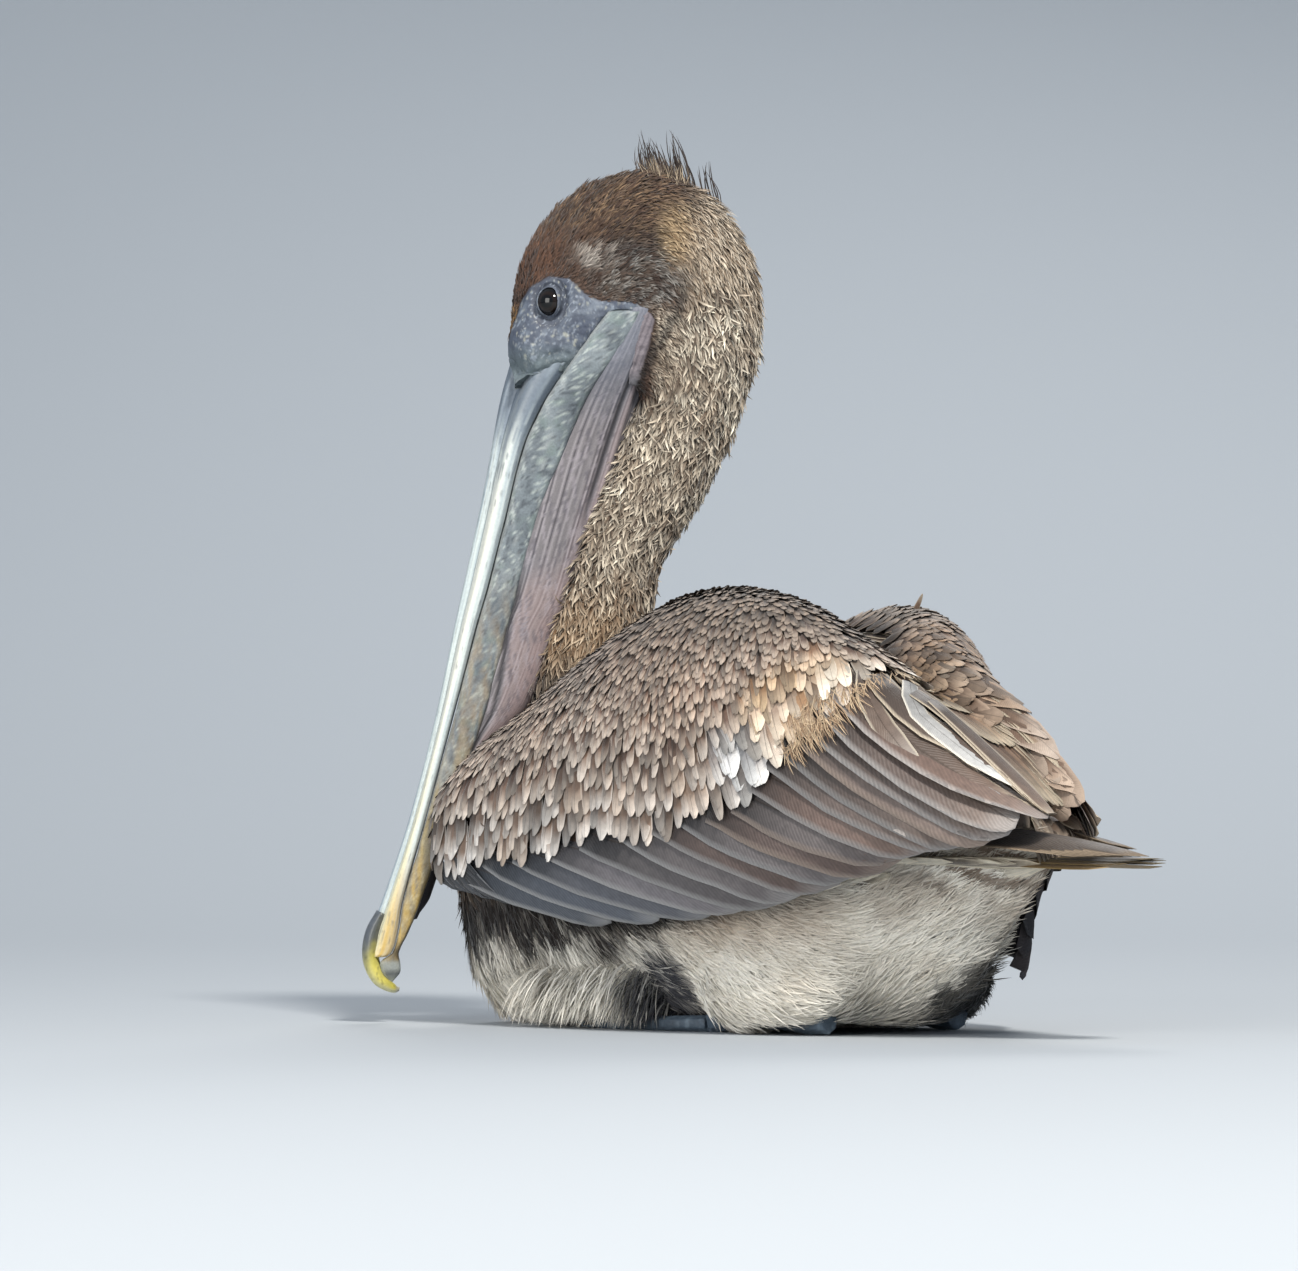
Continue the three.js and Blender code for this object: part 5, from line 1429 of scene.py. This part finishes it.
def undertail():
    """Long loose feathers from the vent back under the tail, streaked brown and cream."""
    x, _, z = skin_points.T
    cover = (weights["trunk"] > 0.5) & open_skin & (x > 58) & (x < 152) & (z > 50) & (z < 100)
    roots = scatter(cover.astype(float), 3.3, 95)
    px, _, pz = roots["p"].T
    sides = roots["p"][:, 1:2] * [[0, -0.004, 0]]
    way = np.array([1.0, 0, 0]) + UP * mix(0.45, 0.02, smooth(pz, 45, 82))[:, None] + sides
    roots["flow"] = unit(way - roots["n"] * dot(way, roots["n"])[:, None])
    own = np.random.default_rng(96)
    length = mix(22, 32, smooth(px, 90, 150)) * own.uniform(0.8, 1.2, len(px))
    length = length * mix(0.6, 1, smooth(pz, 50, 70))
    line, normal = over_skin(roots, length, 6, 0.12, 260.0)
    line[..., 2] = np.minimum(line[..., 2], 82.0 - 0.02 * (line[..., 0] - 150))
    # the rear of the belly rises to the tail
    lowest = np.minimum(62 + 0.42 * (line[..., 0] - 130), 81.0)
    line[..., 2] = np.where(line[..., 0] > 130, np.maximum(line[..., 2], lowest), line[..., 2])
    streak = smooth(own.random(len(px)) + 0.3 * noise(line[:, 0], 9, 94), 0.4, 0.6) * smooth(pz, 50, 62)
    mid = blend_colours("d6cdbb", ("43362b", 0.9 * streak))
    vanes("undertail_feathers", line, normal, 0.13 * length + 1.0, mid * 0.75, mid, mix(mid, CREAM, 0.4),
          mix(mid, CREAM, 0.7), "body_plumage", vane_look, roots["uv"], columns=4, seed=97, point=0.7,
          arch=0.25, ruffle=0.15)


def wisps():
    """Golden hair-like feathers over the elbow of the left wing."""
    own = np.random.default_rng(98)
    wing, count, stations = wings["left"], 420, 7
    s = own.random(count)
    x = mix(95, 122, s) + own.normal(0, 3, count)
    a = wing.edge(x) - own.uniform(0, 1, count) ** 1.5 * 22 + 1
    length = own.uniform(3, 9, count)
    turn = mix(0.3, 1.15, s) + own.normal(0, 0.45, count)
    t = np.linspace(0, 1, stations)[None]
    reach = length[:, None] * t
    line_x = x[:, None] + reach * np.sin(turn)[:, None]
    line_a = a[:, None] + reach * np.cos(turn)[:, None]
    normal = wing.facing(line_x, line_a)
    turn_out = own.normal(0, 2.2, (count, 1)) * t**2
    line_x = line_x + turn_out
    rise = mix(0.8, own.uniform(0.6, 2.2, (count, 1)), t)
    line = wing.at(line_x, line_a) + normal * rise[..., None]
    mid = blend_colours("80634a", ("d3bd9c", own.random(count) * 0.8))
    vanes("elbow_wisps", line, normal, own.uniform(0.22, 0.5, count), mid * 0.7, mid, mid * 1.15, mid,
          "covert_feathers", fine_look, nearest_uv(line[:, 0]), seed=99, point=0.9, arch=0.2)


def stray_feather():
    """One loose feather that stands up between the wings."""
    t = LONG_STEPS[None, :, None]
    foot, tip = np.array([20.0, 40, 184]), np.array([46.0, 44, 209])
    line = mix(foot, tip, t) + np.array([0.55, 0, -0.6]) * 5 * np.sin(np.pi * t)
    normal = np.broadcast_to(unit(np.array([0.6, -0.7, 0.3])), line.shape)
    mid = rgb("5d4a3c")[None]
    vanes("stray_feather", line, normal, np.array([4.2]), mid * 0.6, mid, mid * 1.4, mix(mid, CREAM, 0.5),
          "covert_feathers", vane_look, nearest_uv(line[:, 0]), columns=4, seed=93, point=0.8, arch=0.3,
          thick=0.25, steps=LONG_STEPS)


coat_of_head()
coat_of_neck()
coat_of_trunk()
coat_of_back()
for name in SIDES:
    covert_rows(name)
    long_feathers(name)
    front_tuft(name)
    tertials(name)
    primaries(name)
scapulars()
tail_feathers()
undertail()
toe_fringe()
wisps()
stray_feather()
crest()

# ---------- bill ----------
# By height, how far forward of the head's axis the ridge, the line where the bill closes, the rear edge of
# the lower jaw and the back of the pouch are.
RIDGE = through([(14, 121), (30, 119.5), (44, 115.4), (58, 109.8), (90, 98.8), (119, 90.6),
                 (154, 82), (193, 74), (232, 65.4), (272, 57.2), (306, 51), (328, 45)])
CLOSING = through([(18, 106), (22, 108.5), (26, 110), (30, 110), (34, 104.3), (45, 101),
                   (59, 98.8), (94, 89), (159, 71.5), (193, 62.8), (213, 57), (242, 49.5),
                   (281, 39.7), (301, 31), (316, 21.5), (339, 5), (348, -2)])
JAW = through([(18, 104.5), (21, 101.6), (25, 100), (30, 100.2), (34, 101), (44, 96.3), (59, 90),
               (94, 78), (129, 65.8), (159, 56), (192, 47.4), (233, 36.5), (254, 29.9),
               (281, 18.6), (311, 5), (334, -12), (350, -20)])
POUCH_BACK = through([(54, 88), (94, 74), (132, 58), (154, 39), (174, 29), (194, 21), (208, 12),
                      (242, 1), (272, -9), (301, -18), (331, -27), (350, -31)])
# Half widths by height: of the upper bill, of the gap between the jaw's branches, of a branch, of the pouch.
BILL_HALF = through([(30, 5.5), (44, 8.5), (58, 10.5), (90, 12), (119, 12.4), (159, 13), (193, 14),
                     (242, 16), (281, 18.5), (319, 22)])
JAW_SPREAD = through([(21, 0.5), (34, 3.2), (59, 6.6), (94, 8.6), (159, 10.2), (193, 11.2),
                      (242, 13.2), (281, 16.5), (304, 21), (326, 25.6), (350, 27.5)])
JAW_SIDE = through([(21, 2.4), (54, 2.9), (194, 3.1), (294, 4), (350, 4.5)])
POUCH_WIDE = through([(54, 4), (94, 6.5), (132, 9), (159, 11.5), (193, 13.5), (242, 16.5),
                      (281, 18.5), (304, 22), (326, 28.5), (350, 30.5)])

bill_look = material("bill", roughness=0.42, grain=1.4, grain_depth=0.16, grain_tint=0.16, specular=0.45)
jaw_look = material("jaw", roughness=0.5, grain=1.0, grain_depth=0.2, grain_tint=0.3, specular=0.45)
pouch_look = material("pouch", roughness=0.6, grain=0.8, grain_depth=0.12, grain_tint=0.22)
nail_look = material("nail", roughness=0.32, grain=2.0, grain_depth=0.12, grain_tint=0.2, specular=0.5)


def upper_bill():
    """The upper bill's horn, with two grooves along each side."""
    across = through([(0, 0.86), (0.17, 1), (0.36, 0.92), (0.55, 0.5), (0.66, 0.3), (0.86, 0.24), (1, 0.0)])
    rise = through([(0, 0), (0.17, 0.18), (0.36, 0.5), (0.55, 0.66), (0.66, 0.72), (0.86, 0.94), (1, 1)])
    v = np.linspace(0, 1, 34)
    heights = np.linspace(32.5, 328, 260)[:, None]
    ridge, closing, half = RIDGE(heights), CLOSING(heights) + 0.35, BILL_HALF(heights)
    one = np.concatenate([v, v[-2::-1]])
    sign = np.concatenate([np.ones(34), -np.ones(33)])
    a, r = across(one), rise(one)
    groove = 0.5 * np.exp(-((one - 0.63) / 0.035) ** 2) + 0.2 * np.exp(-((one - 0.5) / 0.02) ** 2)
    forward = mix(closing, ridge, r) - groove * 0.8
    side = sign * (a * half - groove)
    rings = in_head(forward, side, heights)
    end = [in_head((RIDGE(h) + CLOSING(h)) / 2, 0, h + d) for h, d in ((32.5, -0.8), (328, 1))]
    points, faces = loft(rings, *end)
    vv = over_rings(one, rings, 0.5, 0.5)
    hh = over_rings(heights, rings, 32, 329)
    lane = np.stack([vv * 30, over_rings(sign, rings, 0, 0) * 8, hh / 16], -1)
    streak = noise(lane, 1.6, 101)
    fine = noise(lane * [1, 1, 2.5], 0.7, 102)
    base = smooth(hh, 236, 300)
    yellow = 1 - smooth(hh, 60, 175)
    plate = smooth(vv, 0.2, 0.34) * (1 - smooth(vv, 0.5, 0.62))
    crack = np.exp(-((vv - 0.63 + 0.012 * streak) / 0.02) ** 2) * 0.8
    crack = crack + np.exp(-((vv - 0.79 + 0.03 * streak) / 0.014) ** 2) * 0.5
    tint = blend_colours(
        "c9d2cf",
        ("eceadb", 0.9 * plate * (1 - 0.6 * base)),
        ("8fa0ab", 0.5 * np.clip(streak + 0.25, 0, 1) * (1 - plate)),
        ("8a97a6", 0.6 * base * (0.6 + 0.5 * streak)), ("4a5362", 0.75 * base * smooth(fine, 0.2, 0.5)),
        ("e0d9a8", 0.55 * yellow * plate), ("8d9dab", 0.6 * yellow * smooth(vv, 0.72, 0.86)),
        ("cfa63a", 0.85 * (1 - smooth(hh, 42, 96)) * (1 - smooth(vv, 0.24, 0.5)) * (0.8 + 0.4 * streak)),
        ("6c6a5c", 0.8 * crack * (1 - 0.3 * yellow)), ("5a6470", 0.55 * (1 - smooth(vv, 0.02, 0.16))),
        ("5b5f66", 0.5 * (smooth(fine, 0.45, 0.7))),
        ("596472", 0.8 * smooth(hh + 5 * streak, 272, 306)),
        ("98a3ab", 0.5 * smooth(hh, 266, 290) * smooth(fine, 0.3, 0.6)),
    )
    sunk = 0.25 * np.clip(crack, 0, 1) - 0.12 * streak
    points = points - vertex_normals(points, triangles_of(faces)) * sunk[:, None]
    make_piece("bill_upper_horn", points, faces, tint, bill_look, "upper_bill", ["bill_upper"])


def nail():
    """The hook at the bill's tip."""
    way = [(109, 54), (113.5, 44), (114.6, 32), (111, 22), (104, 17), (100.5, 16.4)]
    share = np.linspace(0, 1, 44)
    forward = through([(i / 5, p[0]) for i, p in enumerate(way)])(share)
    height = through([(i / 5, p[1]) for i, p in enumerate(way)])(share)
    centre = in_head(forward, 0, height)
    along = unit(np.gradient(centre, axis=0))
    out = unit(np.cross(along, SIDE))
    wide = through([(0, 6.5), (0.35, 6.8), (0.7, 5), (1, 1.2)])(share)
    deep = through([(0, 3), (0.35, 4.2), (0.7, 3), (1, 0.9)])(share)
    turn = np.linspace(0, 2 * np.pi, 29)[:-1]
    rings = (centre[:, None] + SIDE * (wide[:, None] * np.cos(turn))[..., None]
             + out[:, None] * (deep[:, None] * np.sin(turn))[..., None])
    points, faces = loft(rings, centre[0], centre[-1])
    where = over_rings(share[:, None], rings, 0, 1)
    blot = noise(points, 3, 111)
    inner = over_rings(smooth(np.sin(turn), -0.2, 0.6), rings, 0, 0)
    tint = blend_colours(
        "bdb24a", ("97914a", 0.5 + 0.5 * blot),
        ("3c4350", 0.9 * (1 - smooth(where + 0.08 * blot, 0.2, 0.46))),
        ("cfcdb0", 0.55 * inner * smooth(where, 0.4, 0.6)),
        ("5d6470", 0.6 * inner * (1 - smooth(where, 0.35, 0.6))),
        ("8f8d86", 0.85 * smooth(where, 0.84, 0.95)), ("e0d57a", 0.4 * bump(where, 0.55, 0.25)),
        ("4c4a38", 0.5 * (noise(points, 1.2, 112) > 0.5)),
    )
    make_piece("bill_nail_horn", points, faces, tint, nail_look, "bill_nail", ["bill_nail"])


def lower_bill():
    """The two thin branches of the lower jaw."""
    heights = np.concatenate([[19.5, 20.5, 22], np.linspace(24, 348, 230)])
    front, back = CLOSING(heights) - 0.35, JAW(heights)
    turn = np.linspace(0, 2 * np.pi, 41)[:-1]
    c, s = (np.sign(f) * np.abs(f) ** 0.8 for f in (np.cos(turn), np.sin(turn)))
    taper = smooth(heights, 17, 25)
    branches, tints = [], []
    for sign in (1, -1):
        forward = ((front + back) / 2)[:, None] + (taper * (front - back) / 2)[:, None] * c
        side = sign * JAW_SPREAD(heights)[:, None] + (taper * JAW_SIDE(heights))[:, None] * s
        rings = in_head(forward, side, heights[:, None])
        ends = [in_head((CLOSING(h) + JAW(h)) / 2, sign * JAW_SPREAD(h), h + d)
                for h, d in ((19.5, -0.8), (348, 1))]
        points, faces = loft(rings, *ends)
        u = over_rings(c, rings, 0, 0)
        h = over_rings(heights[:, None], rings, 19, 349)
        lump = noise(points * [1, 1, 0.5], 6, 121)
        fine = 0.6 * noise(points * [1, 1, 0.5], 1.5, 122) + 0.6 * noise(points, 0.8, 124)
        scrape = noise(points * [1, 1, 0.12], 1.3, 123)
        near_tip = 1 - smooth(h, 70, 150)
        rust = smooth(h, 60, 160) * (1 - smooth(h, 175, 235))
        tints.append(blend_colours(
            "727b80",
            ("959da0", 0.4 * np.clip(lump + 0.2, 0, 1)), ("4d5359", 0.5 * np.clip(-lump, 0, 1)),
            ("b4bcb6", 0.75 * smooth(fine, 0.22, 0.6)), ("363b42", 0.7 * smooth(-fine, 0.22, 0.6)),
            ("6f8078", 0.4 * smooth(noise(points, 4, 125), 0.1, 0.6)),
            ("a9aeac", 0.5 * smooth(scrape, 0.35, 0.8)), ("454a50", 0.5 * smooth(-scrape, 0.3, 0.8)),
            ("8a7350", 0.55 * rust * np.clip(0.6 + scrape, 0, 1)),
            ("c19f49", 0.8 * near_tip * (0.7 + 0.5 * scrape)),
            ("6b5b3a", 0.5 * near_tip * smooth(-u, 0.3, 0.9)), ("2e3239", 0.7 * smooth(-u, 0.75, 1.0)),
            ("9a9c98", 0.5 * smooth(u, 0.7, 1)), ("24262b", 0.8 * bump(h, 35, 7)),
            ("8f9694", 0.9 * (1 - smooth(h, 29, 32))), ("33373b", 0.7 * bump(h, 24, 3.5) * (u < 0.6)),
        ))
        swell = 0.35 * lump + 0.16 * fine
        normals = vertex_normals(points, triangles_of(faces))
        sink = 0.3 * np.exp(-((u + 0.35) / 0.08) ** 2)
        points = points + normals * (swell - sink)[:, None] * 0.8
        if dot(normals[400:440], points[400:440] - points[400:440].mean(0)).mean() < 0:
            faces = [f[:, ::-1] for f in faces]
        branches.append((points, faces))
    make_piece("bill_lower_jaws", *as_one(branches), np.concatenate(tints), jaw_look, "lower_bill",
               ["bill_lower"])


def pouch():
    """Slack skin, finely ribbed along its length, with two deep folds."""
    heights = np.linspace(51, 354, 300)
    front, back = CLOSING(heights) - 2, POUCH_BACK(heights)
    around = 150
    turn = np.linspace(0, 2 * np.pi, around + 1)[:-1]
    c, s = (np.sign(f) * np.abs(f) ** 0.9 for f in (np.cos(turn), np.sin(turn)))
    taper = (smooth(heights, 46, 62) * (1 - smooth(heights, 350, 358)))[:, None]
    lengthwise, round_it = np.meshgrid(heights / 60, turn * 2, indexing="ij")
    lane = np.stack([lengthwise, round_it, 0 * round_it], -1).reshape(-1, 3)
    place = noise(lane, 1, 131).reshape(len(heights), around)
    ribs = np.sin(turn * 52 + 1.1 * place) * 0.6 + 0.5 * np.sin(turn * 71 - 1.4 * place)
    depth = (front - back)[:, None]
    share = 0.5 - 0.5 * c[None]
    h = heights[:, None]
    line = mix(0.62, 0.30, smooth(h, 120, 215))
    fold = np.exp(-((share - line) / 0.022) ** 2) * smooth(h, 105, 135) * (1 - smooth(h, 205, 228))
    line2 = mix(0.52, 0.24, smooth(h, 110, 205))
    fold2 = 0.7 * np.exp(-((share - line2) / 0.016) ** 2) * smooth(h, 95, 125) * (1 - smooth(h, 190, 215))
    edge = np.exp(-((share - 0.78) / 0.03) ** 2) * smooth(h, 238, 262)
    edge2 = 0.7 * np.exp(-((share - 0.9) / 0.02) ** 2) * smooth(h, 200, 240)
    sink = 1.5 * fold + 1.1 * fold2 + 0.9 * edge + 0.6 * edge2
    smooth_back = smooth(share, line + 0.02, line + 0.1) * (1 - smooth(h, 205, 235))
    rib_depth = 0.16 * ribs * (1 - 0.75 * smooth_back)
    swell = rib_depth - sink + 1.0 * smooth_back * bump(h, 165, 75)
    forward = ((front + back) / 2)[:, None] + taper * (depth / 2 + swell) * c
    side = taper * (POUCH_WIDE(heights)[:, None] + swell) * s
    rings = in_head(forward, side, h)
    ends = [in_head((CLOSING(k) + POUCH_BACK(k)) / 2, 0, k + d) for k, d in ((51, -0.6), (354, 0.6))]
    points, faces = loft(rings, *ends)
    shown = (ribs, share, h, fold + fold2 + edge + edge2, smooth_back)
    ribs, share, h, dark, pink = (over_rings(v, rings, 0, 0) for v in shown)
    blot = noise(points, 16, 132)
    tint = blend_colours(
        "777375",
        # painted light and shade on the fine ribs: pale on their crests, dark in their furrows
        ("a39da0", 0.75 * np.clip(ribs, 0, 1)), ("39363b", 0.85 * np.clip(-ribs, 0, 1)),
        ("656b76", 0.4 * np.clip(blot, 0, 1)),
        ("a38c8f", 0.3 * smooth(share, 0.62, 0.85) * (1 - smooth(h, 240, 300))),
        ("a08a86", 0.42 * pink), ("857a7c", 0.6 * pink * smooth(share, 0.86, 1.0)),
        ("55525a", 0.6 * smooth(noise(points * [1, 1, 0.1], 0.9, 133), 0.2, 0.6)),
        ("9e979d", 0.45 * smooth(noise(points * [1, 1, 0.1], 1.2, 134), 0.3, 0.6)),
        ("6f7683", 0.6 * smooth(h, 285, 335)),
        ("b7a7a8", 0.5 * bump(share, 0.86, 0.06) * smooth(h, 200, 250)),
        # painted shade in the folds, and along the edge where the pouch tucks under the jaw
        ("232429", np.clip(dark, 0, 1) * 0.9), ("34343a", 0.75 * (1 - smooth(share, 0.02, 0.12))),
        # painted shadow over the pouch's low end
        ("18171b", 0.95 * (1 - smooth(h, 92, 128))),
    )
    make_piece("pouch_skin", points, faces, tint, pouch_look, "pouch_skin", ["pouch"])


upper_bill()
nail()
lower_bill()
pouch()


# ---------- eyes ----------
def eyes():
    look = material("eye", roughness=0.04, specular=0.45, grain=0.5, grain_tint=0.1)
    for name, sign in (("left", 1), ("right", -1)):
        centre = in_head(EYE["forward"], sign * EYE["side"], EYE["height"])
        out = out_of_eye(sign)
        across = unit(np.cross(out, UP))
        up = np.cross(across, out)
        bend = np.concatenate([np.linspace(0.02, 1.1, 40), np.linspace(1.15, 3.12, 24)])
        turn = np.linspace(0, 2 * np.pi, 65)[:-1]
        # the cornea stands a little proud of the ball
        radius = EYE["radius"] + 0.3 * (1 - smooth(bend, 0.1, 1.0))
        circle = across * np.cos(turn)[:, None] + up * np.sin(turn)[:, None]
        rings = centre + (out * (radius * np.cos(bend))[:, None, None]
                          + circle[None] * (radius * np.sin(bend))[:, None, None])
        points, faces = loft(rings, centre + out * (EYE["radius"] + 0.3), centre - out * EYE["radius"])
        far = over_rings(bend[:, None], rings, 0, np.pi)
        tint = blend_colours("130b07", ("020202", 1 - smooth(far, 0.36, 0.42)),
                             ("1d110a", 0.5 * bump(far, 0.52, 0.12)), ("060505", smooth(far, 0.64, 0.74)))
        make_piece(f"eyeball_{name}", points, faces, tint, look, "eye", [f"eye_{name}"])


eyes()


# ---------- legs and feet ----------
TOES = [(86, -20), (96, 0), (82, 20), (42, 58)]  # length and turn in degrees, from the outer toe in


def tuck_toes(points):
    """The toes in front lie a little closer under the belly than they would spread."""
    beyond = np.maximum(np.abs(points[..., 1]) - 48, 0) * smooth(-points[..., 0], 18, 46)
    return points - np.sign(points[..., 1:2]) * 0.6 * beyond[..., None] * [0, 1, 0]


def claws():
    look = material("claw", roughness=0.35, coat=0.15, grain=0.6, grain_depth=0.12, grain_tint=0.3)
    for name, side in (("left", -1), ("right", 1)):
        horns, shares = [], []
        for length, turn in TOES:
            ahead = np.array([-np.cos(np.radians(turn)), -side * np.sin(np.radians(turn)), 0])
            across = np.cross(UP, ahead)
            t = np.linspace(0, 1, 14)[:, None]
            heel = np.array([-3.0, side * 50.0, 0])
            line = heel + ahead * (length - 10 + 11 * t) + UP * (2.7 - 1.9 * t**1.6)
            radius = mix(1.75, 0.3, t**1.2)
            around = np.linspace(0, 2 * np.pi, 17)[:-1]
            circle = across * np.cos(around)[:, None] + UP * np.sin(around)[:, None]
            rings = line[:, None] + radius[..., None] * circle
            points, faces = loft(rings, line[0] - ahead * 0.5, line[-1] + ahead * 0.25)
            points[:, 2] = np.maximum(points[:, 2], LOWEST)
            horns.append((tuck_toes(points), faces))
            shares.append(over_rings(t, rings, 0, 1))
        tint = blend_colours("2c2825", ("675c50", 0.7 * smooth(np.concatenate(shares), 0.4, 1.0)))
        make_piece(f"claws_{name}", *as_one(horns), tint, look, "leg_skin")


def legs():
    look = material("leg_skin", roughness=0.55, grain=1.5, grain_depth=0.3, grain_tint=0.35)
    for side in SIDES:
        mesh = remeshed([f"foot_{side}", f"tarsus_{side}"], 0.9, 0.3)
        points, triangles = arrays_of(mesh)
        points = relax(points, triangles, 6)
        points = tuck_toes(points)
        normals = vertex_normals(points, triangles)
        scale = noise(points * [1.0, 1.0, 0.6], 2.2, 141)
        points = points + normals * (0.18 * np.abs(scale) - 0.35)[:, None]
        points[:, 2] = np.maximum(points[:, 2], 0)
        tint = blend_colours("4d5a66", ("7d8c98", np.clip(scale, 0, 1) * 0.6),
                             ("2c323a", np.clip(-noise(points, 9, 142), 0, 1) * 0.6))
        parts = [f"foot_{side}", f"tarsus_{side}"]
        make_piece(f"leg_and_foot_{side}", points, [triangles], tint, look, "leg_skin", parts)


legs()
claws()


# ---------- floor, lights and camera ----------
def stage():
    mesh = bpy.data.meshes.new("floor")
    back, side, bend = 1.6, 9.0, 3.2
    curve = [(back + bend * math.sin(a), bend * (1 - math.cos(a))) for a in np.linspace(0, 1.5, 24)]
    profile = [(-6.0, 0.0), *curve, (back + bend * 1.03, 7.0)]
    away = Vector((-VIEW_RIGHT[1], VIEW_RIGHT[0], 0))
    aside = Vector((*VIEW_RIGHT, 0))
    points = [away * d + aside * s + Vector((0, 0, z)) for d, z in profile for s in (-side, side)]
    starts = range(0, 2 * len(profile) - 2, 2)
    mesh.from_pydata(points, [], [(i, i + 1, i + 3, i + 2) for i in starts])
    mesh.shade_smooth()
    floor = bpy.data.objects.new("floor", mesh)
    bpy.context.scene.collection.objects.link(floor)
    look = bpy.data.materials.new("pale_floor")
    look.use_nodes = True
    shader = look.node_tree.nodes["Principled BSDF"]
    shader.inputs["Base Color"].default_value = (0.40, 0.43, 0.46, 1)
    shader.inputs["Roughness"].default_value = 0.8
    mesh.materials.append(look)


def lights():
    world = bpy.data.worlds.new("soft")
    world.use_nodes = True
    sky = world.node_tree.nodes["Background"]
    sky.inputs["Color"].default_value = (0.75, 0.86, 1.0, 1)
    sky.inputs["Strength"].default_value = 0.5
    bpy.context.scene.world = world
    for name, place, size, power, colour in (
        ("key", (2.4, -0.9, 2.9), 0.6, 165, (1.0, 0.96, 0.9)),
        ("fill", (0.6, -3.2, 0.9), 1.8, 55, (1.0, 0.97, 0.93)),
        ("rim", (-1.8, 2.2, 2.4), 1.4, 40, (1.0, 0.98, 0.95)),
    ):
        data = bpy.data.lights.new(name, "AREA")
        data.size = size
        data.energy = power
        data.color = colour
        light = bpy.data.objects.new(name, data)
        light.location = place
        light.rotation_mode = "QUATERNION"
        light.rotation_quaternion = (Vector((0, 0, 0.2)) - Vector(place)).to_track_quat("-Z", "Y")
        bpy.context.scene.collection.objects.link(light)


CAMERA_PLACE = (2.5557, -2.3923, 0.134)
CAMERA_TILT = math.radians(0.8998)
CAMERA_LENS = 202.2  # mm, on a sensor 36 mm wide


def camera():
    data = bpy.data.cameras.new("camera")
    data.lens = CAMERA_LENS
    data.sensor_width = 36
    data.clip_start, data.clip_end = 0.1, 60
    view = bpy.data.objects.new("camera", data)
    bpy.context.scene.collection.objects.link(view)
    level = math.cos(CAMERA_TILT)
    look = Vector((-math.sin(HEAD_TURN) * level, math.cos(HEAD_TURN) * level, math.sin(CAMERA_TILT)))
    view.location = CAMERA_PLACE
    view.rotation_mode = "QUATERNION"
    view.rotation_quaternion = look.to_track_quat("-Z", "Y")
    bpy.context.scene.camera = view
    bpy.context.scene.view_settings.view_transform = "Standard"


stage()
lights()
camera()
